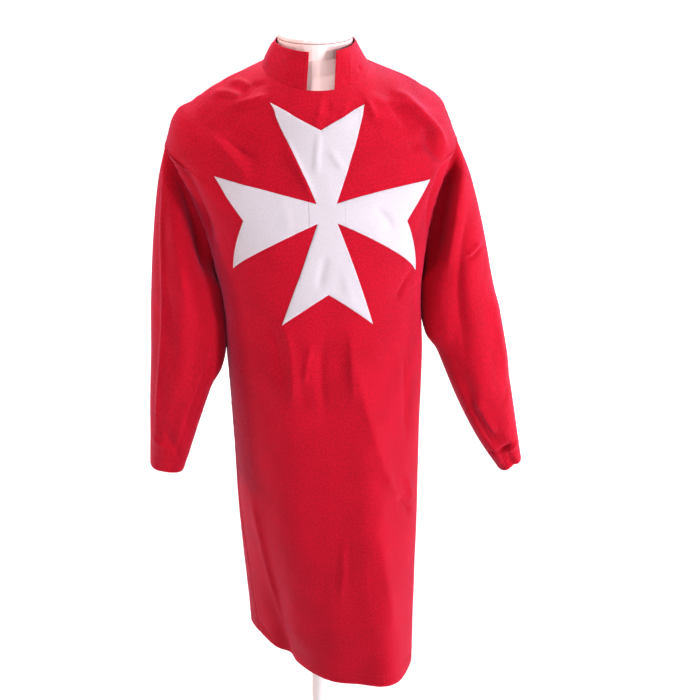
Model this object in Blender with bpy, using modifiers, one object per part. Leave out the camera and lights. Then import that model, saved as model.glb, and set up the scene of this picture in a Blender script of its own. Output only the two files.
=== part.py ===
"""A long tunic with a large eight-pointed cross on its chest, on a headless dress form.

Metres, +Z up. The origin is the centre of the stand's foot, on the floor, and the front faces -Y.
Left and right are as seen from the front, so left is -X.
"""
import math
from collections import namedtuple

import bmesh
import bpy
import numpy as np

# Cloth
CLOTH_THICKNESS = 0.0016
APPLIQUE_THICKNESS = 0.0012
SEAM_GAP = 0.0003
ARMHOLE_GAP = 0.0012
COLLAR_GAP = 0.0005

# The opening at the front of the collar, as an angle on the neckline to each side of the centre
COLLAR_OPENING_ANGLE = 14.4
NECK_COLUMNS = 3
FRONT_COLUMNS = 11
BACK_COLUMNS = 12
ARMHOLE_ROWS = 8
SKIRT_ROWS = 14
COLLAR_ROWS = 2
SLEEVE_ROWS = 12
# How far the collar's wall bows in below the line between its two edges, as a share of its height
COLLAR_CURVE = 0.12
# Degrees by which the top edge of each half stands back from the line of the opening
COLLAR_SPREAD = {"collar_left": 0.0, "collar_right": 11.0}

# How sharp the ridge of the shoulder is
SHOULDER_POWER = 1.6
# The skirt is drawn out along a line that points to the front right corner of its hem
SKEW_ANGLE = 39.0

# The armhole, half of its depth from front to back
ARMHOLE_HALF_DEPTH = 0.052

# Dress form
FORM_CLEARANCE = 0.0005
NECK_CAP_THICKNESS = 0.008
NECK_RADIUS = 0.0625
POLE_RADIUS = 0.0175
POLE_FLANGE_RADIUS = 0.055
POLE_FLANGE_THICKNESS = 0.008
FOOT_RADIUS = 0.165
FOOT_THICKNESS = 0.02
FOOT_ROUNDING = 0.006
NECK_CAP_INSET = 0.0005
ROUND_SIDES = 32
SMALL_ROUNDING = 0.002
ROUNDING_STEPS = 2
SMOOTH_ANGLE = 40.0

# Cross, all from its centre: reach of the arms, half width at the tips, depth of the
# notch in each end, half width at the crotches, and where the side arms are sewn on
CROSS_REACH = 0.186
CROSS_TIP = 0.080
CROSS_NOTCH = 0.139
CROSS_CROTCH = 0.0165
CROSS_JOIN = 0.030
CROSS_HEIGHT = 1.250
CROSS_SIDE = 0.006
# How the cloth leaves it lying: its lower arm is a little longer, the upright leans and bows
# to the left, the side arms droop at their tips, and their lower tips lie in gathered cloth
CROSS_LOWER_LENGTH = 1.05
CROSS_LEAN = 2.0
CROSS_BOW = 0.006
CROSS_DROP_LEFT = 0.021
CROSS_DROP_RIGHT = 0.040
CROSS_DROP_POWER = 1.6
CROSS_GATHER = 0.11
CROSS_EDGE_STEPS = 4
# The sheet that it is cut from, in rows of the front, and the depths that the cutters span
CROSS_FIRST_ROW = 1
CROSS_LAST_ROW = 17
CUTTER_NEAR = -0.30
CUTTER_FAR = -0.02

# A section is round at a power of 1 and squarer below it
Section = namedtuple("Section", "side_z front_z back_z centre half_width front back skew power",
                     defaults=(0.0, 0.97))
NECKLINE_TO_ARMHOLE = [
    # side_z front_z back_z centre half_width front back skew power
    Section(1.466, 1.445, 1.478, 0.000, 0.090, 0.100, 0.078),
    Section(1.452, 1.408, 1.450, 0.000, 0.128, 0.119, 0.098),
    Section(1.432, 1.366, 1.412, 0.000, 0.172, 0.129, 0.112),
    Section(1.408, 1.330, 1.372, 0.000, 0.208, 0.134, 0.119),
    Section(1.394, 1.305, 1.345, -0.008, 0.226, 0.136, 0.121, 0.0, 0.95),
    Section(1.335, 1.270, 1.300, -0.007, 0.248, 0.137, 0.123, 0.0, 0.92),
]
ARMPIT_TO_HEM = [
    # side_z front_z back_z centre half_width front back skew power
    Section(1.100, 1.085, 1.095, 0.004, 0.180, 0.135, 0.125, 0.00, 0.80),
    Section(0.950, 0.945, 0.950, 0.012, 0.175, 0.136, 0.130, 0.00, 0.84),
    Section(0.800, 0.800, 0.800, 0.013, 0.170, 0.138, 0.134, 0.04, 0.88),
    Section(0.620, 0.620, 0.620, 0.014, 0.164, 0.140, 0.138, 0.11, 0.92),
    Section(0.470, 0.470, 0.470, 0.015, 0.152, 0.141, 0.139, 0.21, 0.96),
    Section(0.333, 0.333, 0.333, 0.016, 0.143, 0.141, 0.140, 0.30, 1.00),
]

# The folds of the body: start and end are lengths down the centre front from the neckline,
# angles are from the centre front with the right side positive, a trough has a negative height
Fold = namedtuple("Fold", "start end angle_start angle_end height_start height_end width")
BODY_FOLDS = [
    # start end angle_start angle_end height_start height_end width
    Fold(0.40, 1.40, 12, 37, 0.004, 0.024, 0.034),
    Fold(0.80, 1.40, 20, 13, 0.000, -0.016, 0.030),
    Fold(0.76, 1.40, -60, -57, 0.000, -0.018, 0.026),
    Fold(0.45, 1.10, -22, -34, 0.003, 0.009, 0.040),
    Fold(0.00, 0.17, 34, 74, 0.006, 0.010, 0.018),
    Fold(0.01, 0.13, 26, 50, 0.004, 0.006, 0.014),
    Fold(0.00, 0.07, 0, -4, 0.004, 0.002, 0.012),
    Fold(0.02, 0.10, -44, -66, 0.004, 0.007, 0.015),
    Fold(0.15, 1.40, 160, 150, 0.002, -0.022, 0.045),
    Fold(0.20, 1.40, -166, -150, 0.003, 0.018, 0.050),
    Fold(0.38, 1.40, 120, 116, 0.000, -0.018, 0.038),
    Fold(0.38, 1.40, -116, -124, 0.000, -0.014, 0.036),
]
FOLD_FADE = 0.07
# Angles become widths at this distance from the body's middle, and from a sleeve's below
BODY_FOLD_RADIUS = 0.15
# The folds die out over this length below the neckline, and over these rows above and below an
# armhole and columns beside it
NECKLINE_FADE = 0.04
ARMHOLE_FADE_ROWS = 2.0
ARMHOLE_FADE_COLUMNS = 3.0

SleeveSection = namedtuple("SleeveSection", "outer_x outer_z inner_x inner_z depth forward power")
LEFT_SLEEVE = [
    # outer_x outer_z inner_x inner_z depth forward power
    SleeveSection(-0.271, 1.270, -0.1725, 1.060, 0.060, 0.002, 1.00),
    SleeveSection(-0.284, 1.170, -0.1685, 1.010, 0.064, 0.004, 0.95),
    SleeveSection(-0.293, 1.060, -0.1725, 0.955, 0.062, 0.006, 0.90),
    SleeveSection(-0.298, 0.960, -0.191, 0.900, 0.057, 0.008, 0.85),
    SleeveSection(-0.304, 0.870, -0.2145, 0.835, 0.052, 0.010, 0.80),
    SleeveSection(-0.307, 0.800, -0.2335, 0.778, 0.047, 0.010, 0.75),
    SleeveSection(-0.310, 0.748, -0.248, 0.737, 0.044, 0.010, 0.70),
]
RIGHT_SLEEVE = [
    # outer_x outer_z inner_x inner_z depth forward power
    SleeveSection(0.267, 1.270, 0.1872, 1.065, 0.060, 0.002, 1.00),
    SleeveSection(0.291, 1.180, 0.1885, 1.030, 0.064, 0.004, 0.95),
    SleeveSection(0.309, 1.090, 0.1975, 0.985, 0.062, 0.006, 0.90),
    SleeveSection(0.332, 0.980, 0.2205, 0.930, 0.058, 0.008, 0.85),
    SleeveSection(0.352, 0.870, 0.2545, 0.845, 0.054, 0.010, 0.80),
    SleeveSection(0.366, 0.785, 0.2915, 0.770, 0.048, 0.012, 0.75),
    SleeveSection(0.3755, 0.729, 0.332, 0.706, 0.042, 0.013, 0.75),
]

# The folds of a sleeve: start and end are shares of its length, angles are from its outer
# line round by the front
LEFT_SLEEVE_FOLDS = [
    # start end angle_start angle_end height_start height_end width
    Fold(0.05, 0.70, 60, 90, 0.004, 0.006, 0.020),
    Fold(0.35, 1.10, 200, 230, -0.004, -0.007, 0.018),
    Fold(0.70, 0.95, 60, 120, -0.004, -0.004, 0.012),
]
RIGHT_SLEEVE_FOLDS = [
    # start end angle_start angle_end height_start height_end width
    Fold(0.08, 0.75, 70, 95, 0.005, 0.006, 0.020),
    Fold(0.55, 1.10, 130, 70, -0.005, -0.008, 0.014),
    Fold(0.45, 1.10, 240, 215, -0.004, -0.007, 0.018),
]
SLEEVE_FOLD_FADE = 0.12
SLEEVE_FOLD_RADIUS = 0.055

# The collar's upper edge
COLLAR_TOP = Section(1.507, 1.503, 1.512, 0.000, 0.0665, 0.079, 0.068)

# The dress form; its rows at the collar bone, yoke and shoulder are the cloth's own
FORM_NECK = [
    # side_z front_z back_z centre half_width front back
    Section(1.512, 1.512, 1.512, 0.0, NECK_RADIUS, NECK_RADIUS, NECK_RADIUS),
    Section(1.492, 1.486, 1.496, 0.0, 0.0630, 0.0640, 0.0630),
    Section(1.474, 1.462, 1.482, 0.0, 0.0680, 0.0730, 0.0660),
    Section(1.460, 1.438, 1.468, 0.0, 0.0830, 0.0920, 0.0730),
]
FORM_TRUNK = [
    # side_z front_z back_z centre half_width front back
    Section(1.383, 1.300, 1.338, 0.0, 0.2130, 0.1280, 0.1140),
    Section(1.345, 1.272, 1.305, 0.0, 0.2140, 0.1260, 0.1130),
    Section(1.290, 1.240, 1.265, 0.0, 0.2030, 0.1240, 0.1120),
    Section(1.220, 1.195, 1.210, 0.0, 0.1840, 0.1210, 0.1100),
    Section(1.140, 1.130, 1.135, 0.0, 0.1660, 0.1150, 0.1050),
    Section(1.060, 1.060, 1.060, 0.0, 0.1520, 0.1070, 0.0990),
    Section(0.990, 0.990, 0.990, 0.0, 0.1450, 0.1020, 0.0960),
    Section(0.920, 0.920, 0.920, 0.0, 0.1460, 0.1030, 0.0980),
    Section(0.860, 0.860, 0.860, 0.0, 0.1470, 0.1040, 0.1000),
    Section(0.815, 0.815, 0.815, 0.0, 0.1440, 0.1020, 0.0980),
    Section(0.800, 0.800, 0.800, 0.0, 0.1360, 0.0940, 0.0900),
]

RED_CLOTH = (0.50, 0.012, 0.030, 1.0)
WHITE_CLOTH = (0.86, 0.84, 0.88, 1.0)
FORM_SKIN = (0.80, 0.68, 0.63, 1.0)
STAND_WHITE = (0.85, 0.85, 0.85, 1.0)


def clear_scene():
    """Remove every object of the open scene."""
    for item in list(bpy.data.objects):
        bpy.data.objects.remove(item, do_unlink=True)


def material(name, colour, roughness, metallic=0.0):
    """A plain Principled material."""
    made = bpy.data.materials.new(name)
    made.use_nodes = True
    shader = made.node_tree.nodes["Principled BSDF"]
    shader.inputs["Base Color"].default_value = colour
    shader.inputs["Roughness"].default_value = roughness
    shader.inputs["Metallic"].default_value = metallic
    return made


def smoothstep(value):
    """Ease from 0 to 1, flat at both ends."""
    value = np.clip(value, 0.0, 1.0)
    return value * value * (3.0 - 2.0 * value)


def through(rows, stations, at):
    """A smooth curve through rows of values, read at other stations."""
    rows = np.asarray(rows, float)
    stations = np.asarray(stations, float)
    slopes = np.gradient(rows, stations, axis=0)
    result = []
    for station in at:
        low = int(np.clip(np.searchsorted(stations, station) - 1, 0, len(stations) - 2))
        length = stations[low + 1] - stations[low]
        part = (station - stations[low]) / length
        ease = part * part * (3.0 - 2.0 * part)
        leave = part * (1.0 - part) ** 2 * length
        arrive = part * part * (part - 1.0) * length
        result.append(rows[low] * (1.0 - ease) + rows[low + 1] * ease
                      + slopes[low] * leave + slopes[low + 1] * arrive)
    return np.array(result)


def front_angles():
    """Columns of the front, from the left side seam to the right one."""
    opening = np.linspace(0.0, COLLAR_OPENING_ANGLE, NECK_COLUMNS + 1)
    rest = np.linspace(COLLAR_OPENING_ANGLE, 90.0, FRONT_COLUMNS + 1)[1:]
    half = np.concatenate([opening, rest])
    return np.radians(np.concatenate([-half[:0:-1], half]))


def back_angles():
    """Columns of the back, from the right side seam round to the left one."""
    return np.radians(np.linspace(90.0, 270.0, 2 * BACK_COLUMNS + 1))


def ring(section, angles, side_y=0.0):
    """The points of one section; side_y moves its two ends, as at an armhole."""
    along = np.cos(angles)
    across = np.sin(angles)
    reach = np.abs(along) ** section.power
    spread = np.sign(across) * np.abs(across) ** section.power
    facing_front = along > 0.0
    depth = np.where(facing_front, -section.front, section.back)
    height = np.where(facing_front, section.front_z, section.back_z)
    rise = 1.0 - np.abs(along) ** SHOULDER_POWER
    draw = 1.0 + section.skew * np.cos(2.0 * (angles - math.radians(SKEW_ANGLE)))
    x = section.centre + section.half_width * spread * draw
    y = side_y * (1.0 - reach) + depth * reach * draw
    z = height + (section.side_z - height) * rise
    return np.stack([x, y, z], axis=1)


def centre_front_stations(sections):
    """The length down the centre front to each section."""
    steps = [0.0]
    for above, below in zip(sections, sections[1:]):
        steps.append(math.hypot(below.front - above.front, below.front_z - above.front_z))
    return np.cumsum(steps)


def armhole_loop(side):
    """The armhole's points from its top round by the front, side being -1 or 1."""
    top = NECKLINE_TO_ARMHOLE[-1]
    bottom = ARMPIT_TO_HEM[0]
    high = np.array([top.centre + side * top.half_width, 0.0, top.side_z])
    low = np.array([bottom.centre + side * bottom.half_width, 0.0, bottom.side_z])
    turns = np.linspace(0.0, 2.0 * math.pi, 2 * ARMHOLE_ROWS + 1)[:-1]
    middle = (high + low) / 2.0
    half = (high - low) / 2.0
    forward = np.array([0.0, -ARMHOLE_HALF_DEPTH, 0.0])
    return middle + np.outer(np.cos(turns), half) + np.outer(np.sin(turns), forward)


def body_rows():
    """Each row's station and section, from the neckline to the hem."""
    sections = NECKLINE_TO_ARMHOLE + ARMPIT_TO_HEM
    stations = centre_front_stations(sections)
    top = len(NECKLINE_TO_ARMHOLE) - 1
    armhole = np.linspace(stations[top], stations[top + 1], ARMHOLE_ROWS + 1)
    skirt = np.linspace(stations[top + 1], stations[-1], SKIRT_ROWS + 1)[1:]
    at = np.concatenate([stations[:top], armhole, skirt])
    rows = [Section(*row) for row in through(sections, stations, at)]
    return at, rows, top


def body_grid(rows, first_armhole, angles, towards):
    """The front or the back as rows of points, with its armhole edges; towards is -1 or 1."""
    left = armhole_loop(-1)
    right = armhole_loop(1)
    grid = []
    for number, section in enumerate(rows):
        turn = number - first_armhole
        if 0 <= turn <= ARMHOLE_ROWS:
            index = turn if towards < 0 else -turn
            edge_left = left[index]
            edge_right = right[index]
            centre = (edge_left[0] + edge_right[0]) / 2.0
            half_width = (edge_right[0] - edge_left[0]) / 2.0
            section = section._replace(centre=centre, half_width=half_width, side_z=edge_left[2])
            points = ring(section, angles, edge_left[1])
        else:
            points = ring(section, angles)
        grid.append(points)
    return np.array(grid)


def unit(vectors):
    """Each vector at length 1."""
    return vectors / np.linalg.norm(vectors, axis=-1, keepdims=True)


def normals(grid, closed=False):
    """Outward directions on a grid whose rows run down and whose columns run anticlockwise."""
    down = np.gradient(grid, axis=0)
    if closed:
        along = (np.roll(grid, -1, axis=1) - np.roll(grid, 1, axis=1)) / 2.0
    else:
        along = np.gradient(grid, axis=1)
    return unit(np.cross(down, along))


def share(first, second):
    """Directions for two edges that meet: equal where the surfaces run on into each other."""
    agreement = np.clip(np.sum(first * second, axis=-1, keepdims=True), 0.0, 1.0) ** 2
    return unit(first + agreement * second), unit(second + agreement * first)


def share_body_sides(front, back, first_armhole):
    """Even out the directions along the shoulder and side seams, not at the armholes."""
    last_armhole = first_armhole + ARMHOLE_ROWS
    for number in range(len(front)):
        if first_armhole < number < last_armhole:
            continue
        for front_column, back_column in ((0, -1), (-1, 0)):
            mean = unit(front[number, front_column] + back[number, back_column])
            front[number, front_column] = mean
            back[number, back_column] = mean


def fold_heights(folds, stations, angles, radius, fade):
    """How far each point stands out, by its station and its angle in degrees."""
    total = np.zeros((len(stations), len(angles)))
    for fold in folds:
        part = np.clip((stations - fold.start) / (fold.end - fold.start), 0.0, 1.0)
        ends = smoothstep((stations - fold.start) / fade) * smoothstep((fold.end - stations) / fade)
        line = fold.angle_start + (fold.angle_end - fold.angle_start) * part
        height = (fold.height_start + (fold.height_end - fold.height_start) * part) * ends
        turn = (angles[None, :] - line[:, None] + 180.0) % 360.0 - 180.0
        distance = np.radians(turn) * radius
        total += height[:, None] * np.exp(-(distance / fold.width) ** 2)
    return total


def body_fold_heights(stations, angles, first_armhole):
    """The folds of the front or back, dying out at the neckline and along the armholes."""
    heights = fold_heights(BODY_FOLDS, stations, np.degrees(angles), BODY_FOLD_RADIUS, FOLD_FADE)
    neck = smoothstep(stations / NECKLINE_FADE)
    side = np.minimum(np.arange(len(angles)), np.arange(len(angles))[::-1])
    edge = smoothstep(side / ARMHOLE_FADE_COLUMNS)
    above = np.arange(len(stations)) - first_armhole
    below = ARMHOLE_ROWS - above
    beside = smoothstep(above / ARMHOLE_FADE_ROWS + 1.0) * smoothstep(below / ARMHOLE_FADE_ROWS + 1.0)
    return heights * neck[:, None] * (1.0 - beside[:, None] * (1.0 - edge[None, :]))


def sleeve_grid(side, sections, folds):
    """A sleeve as rows of closed rings from the armhole to the cuff."""
    loop = armhole_loop(side)
    top = loop[0]
    bottom = loop[ARMHOLE_ROWS]
    start = SleeveSection(top[0], top[2], bottom[0], bottom[2], ARMHOLE_HALF_DEPTH, 0.0, 1.0)
    table = [start] + sections
    stations = np.linspace(0.0, 1.0, len(table))
    at = np.linspace(0.0, 1.0, SLEEVE_ROWS + 1)
    turns = np.linspace(0.0, 2.0 * math.pi, 2 * ARMHOLE_ROWS + 1)[:-1]
    grid = []
    for row in through(table, stations, at):
        section = SleeveSection(*row)
        outer = np.array([section.outer_x, 0.0, section.outer_z])
        inner = np.array([section.inner_x, 0.0, section.inner_z])
        middle = (outer + inner) / 2.0 + np.array([0.0, -section.forward, 0.0])
        half = (outer - inner) / 2.0
        forward = np.array([0.0, -section.depth, 0.0])
        out = np.sign(np.cos(turns)) * np.abs(np.cos(turns)) ** section.power
        ahead = np.sign(np.sin(turns)) * np.abs(np.sin(turns)) ** section.power
        grid.append(middle + np.outer(out, half) + np.outer(ahead, forward))
    grid = np.array(grid)
    if side < 0:
        facing = normals(grid, closed=True)
    else:
        facing = -normals(grid, closed=True)
    heights = fold_heights(folds, at, np.degrees(turns), SLEEVE_FOLD_RADIUS, SLEEVE_FOLD_FADE)
    heights *= smoothstep(at / SLEEVE_FOLD_FADE)[:, None]
    return grid + facing * heights[:, :, None]


def collection(name):
    """A new collection in the scene."""
    made = bpy.data.collections.new(name)
    bpy.context.scene.collection.children.link(made)
    return made


def add_mesh(name, points, faces, group, surface):
    """An object from points and faces."""
    mesh = bpy.data.meshes.new(name)
    mesh.from_pydata([tuple(point) for point in points], [], faces)
    mesh.update()
    if surface is not None:
        mesh.materials.append(surface)
    mesh.shade_smooth()
    mesh.set_sharp_from_angle(angle=math.radians(SMOOTH_ANGLE))
    item = bpy.data.objects.new(name, mesh)
    group.objects.link(item)
    return item


def wall_faces(rows, columns, closed):
    """Triangles of a wall whose outer grid comes first and whose inner grid follows."""
    inner = rows * columns
    steps = columns if closed else columns - 1
    faces = []
    for row in range(rows - 1):
        for column in range(steps):
            after = (column + 1) % columns
            a = row * columns + column
            b = row * columns + after
            c = (row + 1) * columns + after
            d = (row + 1) * columns + column
            faces += [(a, d, c), (a, c, b)]
            faces += [(inner + a, inner + c, inner + d), (inner + a, inner + b, inner + c)]
    for column in range(steps):
        after = (column + 1) % columns
        low = (rows - 1) * columns
        faces.append((column, after, inner + after, inner + column))
        faces.append((low + after, low + column, inner + low + column, inner + low + after))
    if not closed:
        for row in range(rows - 1):
            a = row * columns
            d = (row + 1) * columns
            faces.append((d, a, inner + a, inner + d))
            a += columns - 1
            d += columns - 1
            faces.append((a, d, inner + d, inner + a))
    return faces


def wall(name, outer, inner, group, surface, closed=False, mirrored=False):
    """A closed wall between an outer and an inner grid of points."""
    rows, columns = outer.shape[:2]
    points = np.concatenate([outer.reshape(-1, 3), inner.reshape(-1, 3)])
    faces = wall_faces(rows, columns, closed)
    if mirrored:
        faces = [face[::-1] for face in faces]
    return add_mesh(name, points, faces, group, surface)


def draw_back(grid, edge, gap):
    """Move one edge of a grid in along the surface; edge is top, left or right."""
    grid = grid.copy()
    if edge == "top":
        grid[0] += unit(grid[1] - grid[0]) * gap
    elif edge == "left":
        grid[:, 0] += unit(grid[:, 1] - grid[:, 0]) * gap
    else:
        grid[:, -1] += unit(grid[:, -2] - grid[:, -1]) * gap
    return grid


def body_surfaces():
    """The outer points and outward directions of the front and the back."""
    stations, rows, first_armhole = body_rows()
    grids = {}
    angles = {"front": front_angles(), "back": back_angles()}
    grids["front"] = body_grid(rows, first_armhole, angles["front"], -1)
    grids["back"] = body_grid(rows, first_armhole, angles["back"], 1)
    facing = {name: normals(grid) for name, grid in grids.items()}
    share_body_sides(facing["front"], facing["back"], first_armhole)
    for name in grids:
        heights = body_fold_heights(stations, angles[name], first_armhole)
        grids[name] = grids[name] + facing[name] * heights[:, :, None]
    facing = {name: normals(grid) for name, grid in grids.items()}
    share_body_sides(facing["front"], facing["back"], first_armhole)
    return grids, facing, first_armhole


def make_body(group, surface):
    """Front, two halves of the back, sleeves and collar, and the front's own surface."""
    grids, facing, first_armhole = body_surfaces()
    sleeves = {-1: sleeve_grid(-1, LEFT_SLEEVE, LEFT_SLEEVE_FOLDS),
               1: sleeve_grid(1, RIGHT_SLEEVE, RIGHT_SLEEVE_FOLDS)}
    sleeve_facing = {-1: normals(sleeves[-1], closed=True), 1: -normals(sleeves[1], closed=True)}
    for side, front_column, back_column in ((-1, 0, -1), (1, -1, 0)):
        for turn in range(ARMHOLE_ROWS + 1):
            row = first_armhole + turn
            around = sleeve_facing[side][0]
            body_front, seam_front = share(facing["front"][row, front_column], around[turn])
            body_back, seam_back = share(facing["back"][row, back_column], around[-turn])
            facing["front"][row, front_column] = body_front
            facing["back"][row, back_column] = body_back
            around[turn] = seam_front
            around[-turn] = seam_back
    make_collar(grids, facing, group, surface)
    make_front(grids, facing, group, surface)
    make_back(grids, facing, group, surface)
    for side, name in ((-1, "sleeve_left"), (1, "sleeve_right")):
        outer = draw_back(sleeves[side], "top", ARMHOLE_GAP / 2.0)
        inner = outer - sleeve_facing[side] * CLOTH_THICKNESS
        wall(name, outer, inner, group, surface, closed=True, mirrored=side > 0)
    return grids["front"], facing["front"]


def make_front(grids, facing, group, surface):
    """The front panel, a little back from its seams."""
    outer = draw_back(grids["front"], "top", COLLAR_GAP / 2.0)
    outer = draw_back(draw_back(outer, "left", SEAM_GAP / 2.0), "right", SEAM_GAP / 2.0)
    wall("front", outer, outer - facing["front"] * CLOTH_THICKNESS, group, surface)


def make_back(grids, facing, group, surface):
    """The two halves of the back, which meet down the centre."""
    halves = (("back_right", slice(0, BACK_COLUMNS + 1)), ("back_left", slice(BACK_COLUMNS, None)))
    for name, columns in halves:
        outer = draw_back(grids["back"][:, columns], "top", COLLAR_GAP / 2.0)
        outer = draw_back(draw_back(outer, "left", SEAM_GAP / 2.0), "right", SEAM_GAP / 2.0)
        inner = outer - facing["back"][:, columns] * CLOTH_THICKNESS
        wall(name, outer, inner, group, surface)


def make_collar(grids, facing, group, surface):
    """A standing collar in two halves, open at the front and meeting at the centre back."""
    opening = FRONT_COLUMNS + 2 * NECK_COLUMNS
    halves = {
        "collar_right": (front_angles()[opening:], back_angles()[1:BACK_COLUMNS + 1],
                         grids["front"][0, opening:], grids["back"][0, 1:BACK_COLUMNS + 1],
                         facing["front"][0, opening:], facing["back"][0, 1:BACK_COLUMNS + 1]),
        "collar_left": (back_angles()[BACK_COLUMNS:-1] - 2.0 * math.pi,
                        front_angles()[:FRONT_COLUMNS + 1],
                        grids["back"][0, BACK_COLUMNS:-1], grids["front"][0, :FRONT_COLUMNS + 1],
                        facing["back"][0, BACK_COLUMNS:-1], facing["front"][0, :FRONT_COLUMNS + 1]),
    }
    for name, parts in halves.items():
        angles = np.concatenate(parts[0:2])
        base = np.concatenate(parts[2:4])
        base_facing = np.concatenate(parts[4:6])
        nearness = (math.pi / 2.0 - np.abs(angles)) / math.radians(90.0 - COLLAR_OPENING_ANGLE)
        spread = math.radians(COLLAR_SPREAD[name]) * np.clip(nearness, 0.0, 1.0)
        top = ring(COLLAR_TOP, angles + np.sign(angles) * spread)
        shares = np.linspace(0.0, 1.0, COLLAR_ROWS + 1)
        drawn = shares + COLLAR_CURVE * shares * (shares - 1.0)
        outer = top + (base - top) * drawn[:, None, None]
        directions = normals(outer)
        directions[-1] = share(directions[-1], base_facing)[0]
        outer[-1] += unit(outer[-2] - outer[-1]) * COLLAR_GAP / 2.0
        outer = draw_back(draw_back(outer, "left", SEAM_GAP / 2.0), "right", SEAM_GAP / 2.0)
        wall(name, outer, outer - directions * CLOTH_THICKNESS, group, surface)


def cross_outline(part):
    """One piece of the cross, flat: across to the right and up from its centre."""
    widening = (CROSS_TIP - CROSS_CROTCH) / (CROSS_REACH - CROSS_CROTCH)
    at_join = CROSS_CROTCH + widening * (CROSS_JOIN - CROSS_CROTCH)
    if part == "upright":
        edge = CROSS_JOIN - SEAM_GAP / 2.0
        quarter = [(edge, at_join), (CROSS_CROTCH, CROSS_CROTCH), (CROSS_TIP, CROSS_REACH)]
        upper = quarter + [(0.0, CROSS_NOTCH)] + [(-x, y) for x, y in reversed(quarter)]
        return upper + [(-x, -y) for x, y in upper]
    side = -1.0 if part == "left_arm" else 1.0
    edge = CROSS_JOIN + SEAM_GAP / 2.0
    upper = [(edge, at_join), (CROSS_REACH, CROSS_TIP)]
    lower = [(x, -y) for x, y in reversed(upper)]
    return [(side * x, y) for x, y in upper + [(CROSS_NOTCH, 0.0)] + lower]


def cross_place(grid, across, up):
    """Where a point of the flat cross lies on the front, by lengths along the cloth."""
    drop = CROSS_DROP_LEFT if across < 0.0 else CROSS_DROP_RIGHT
    outward = abs(across) / CROSS_REACH
    gather = CROSS_GATHER * outward ** 2 * min(max(-up / CROSS_TIP, 0.0), 1.0)
    sideways = across * (1.0 - gather) - up * math.sin(math.radians(CROSS_LEAN))
    sideways -= CROSS_BOW * (up / CROSS_REACH) ** 2
    level = up * (CROSS_LOWER_LENGTH if up < 0.0 else 1.0) - drop * outward ** CROSS_DROP_POWER
    centre_line = grid[:, grid.shape[1] // 2]
    lengths = lengths_along(centre_line)
    start = np.interp(-CROSS_HEIGHT, -centre_line[:, 2], lengths)
    height = np.interp(start - level, lengths, centre_line[:, 2])
    line = np.array([[np.interp(-height, -column[:, 2], column[:, axis]) for axis in range(3)]
                     for column in grid.transpose(1, 0, 2)])
    walk = lengths_along(line)
    home = np.interp(CROSS_SIDE, line[:, 0], walk)
    return [np.interp(home + sideways, walk, line[:, axis]) for axis in range(3)]


def lengths_along(line):
    """The length from a line's first point to each of its points."""
    return np.concatenate([[0.0], np.cumsum(np.linalg.norm(np.diff(line, axis=0), axis=1))])


def cross_cutter(name, grid, outline, group):
    """A prism along Y, over the cross piece's outline as it lies on the front."""
    spread = []
    for here, there in zip(outline, outline[1:] + outline[:1]):
        for step in range(CROSS_EDGE_STEPS):
            part = step / CROSS_EDGE_STEPS
            across = here[0] + (there[0] - here[0]) * part
            up = here[1] + (there[1] - here[1]) * part
            spread.append(cross_place(grid, across, up))
    count = len(spread)
    near = [(x, CUTTER_NEAR, z) for x, y, z in spread]
    far = [(x, CUTTER_FAR, z) for x, y, z in spread]
    faces = [tuple(range(count)), tuple(range(2 * count - 1, count - 1, -1))]
    for here in range(count):
        after = (here + 1) % count
        faces.append((after, here, count + here, count + after))
    cutter = add_mesh(name, near + far, faces, group, None)
    orient(cutter)
    cutter.hide_render = True
    cutter.display_type = "WIRE"
    return cutter


def orient(item):
    """Point every face of a closed mesh outward."""
    work = bmesh.new()
    work.from_mesh(item.data)
    bmesh.ops.recalc_face_normals(work, faces=work.faces)
    work.to_mesh(item.data)
    work.free()


def make_cross(grid, facing, group, cutters, surface):
    """The cross in three pieces, each cut from a sheet that follows the front just outside it."""
    rows = slice(CROSS_FIRST_ROW, CROSS_LAST_ROW)
    columns = slice(1, -1)
    under = (grid + facing * SEAM_GAP)[rows, columns]
    over = (grid + facing * (SEAM_GAP + APPLIQUE_THICKNESS))[rows, columns]
    for part in ("upright", "left_arm", "right_arm"):
        piece = wall("cross_" + part, over, under, group, surface)
        cutter = cross_cutter("cutter_" + part, grid, cross_outline(part), cutters)
        cut = piece.modifiers.new("outline", "BOOLEAN")
        cut.operation = "INTERSECT"
        cut.solver = "EXACT"
        cut.object = cutter


def make_form(group, surface):
    """The dress form's trunk and neck, one smooth closed body on every second column."""
    angles = np.concatenate([front_angles()[:-1], back_angles()[:-1]])[::2]
    shared = NECKLINE_TO_ARMHOLE[1:4]
    sections = FORM_NECK + shared + FORM_TRUNK
    grid = np.array([ring(section, angles) for section in sections])
    facing = normals(grid, closed=True)
    inset = np.zeros(len(sections))
    inset[len(FORM_NECK):len(FORM_NECK) + len(shared)] = CLOTH_THICKNESS + FORM_CLEARANCE
    grid = grid - facing * inset[:, None, None]
    rows, columns = grid.shape[:2]
    faces = []
    for row in range(rows - 1):
        for column in range(columns):
            after = (column + 1) % columns
            a = row * columns + column
            b = row * columns + after
            faces.append((a, a + columns, b + columns))
            faces.append((a, b + columns, b))
    faces.append(tuple(range(columns)))
    faces.append(tuple(range(rows * columns - 1, (rows - 1) * columns - 1, -1)))
    add_mesh("form_torso", grid.reshape(-1, 3), faces, group, surface)


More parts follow.
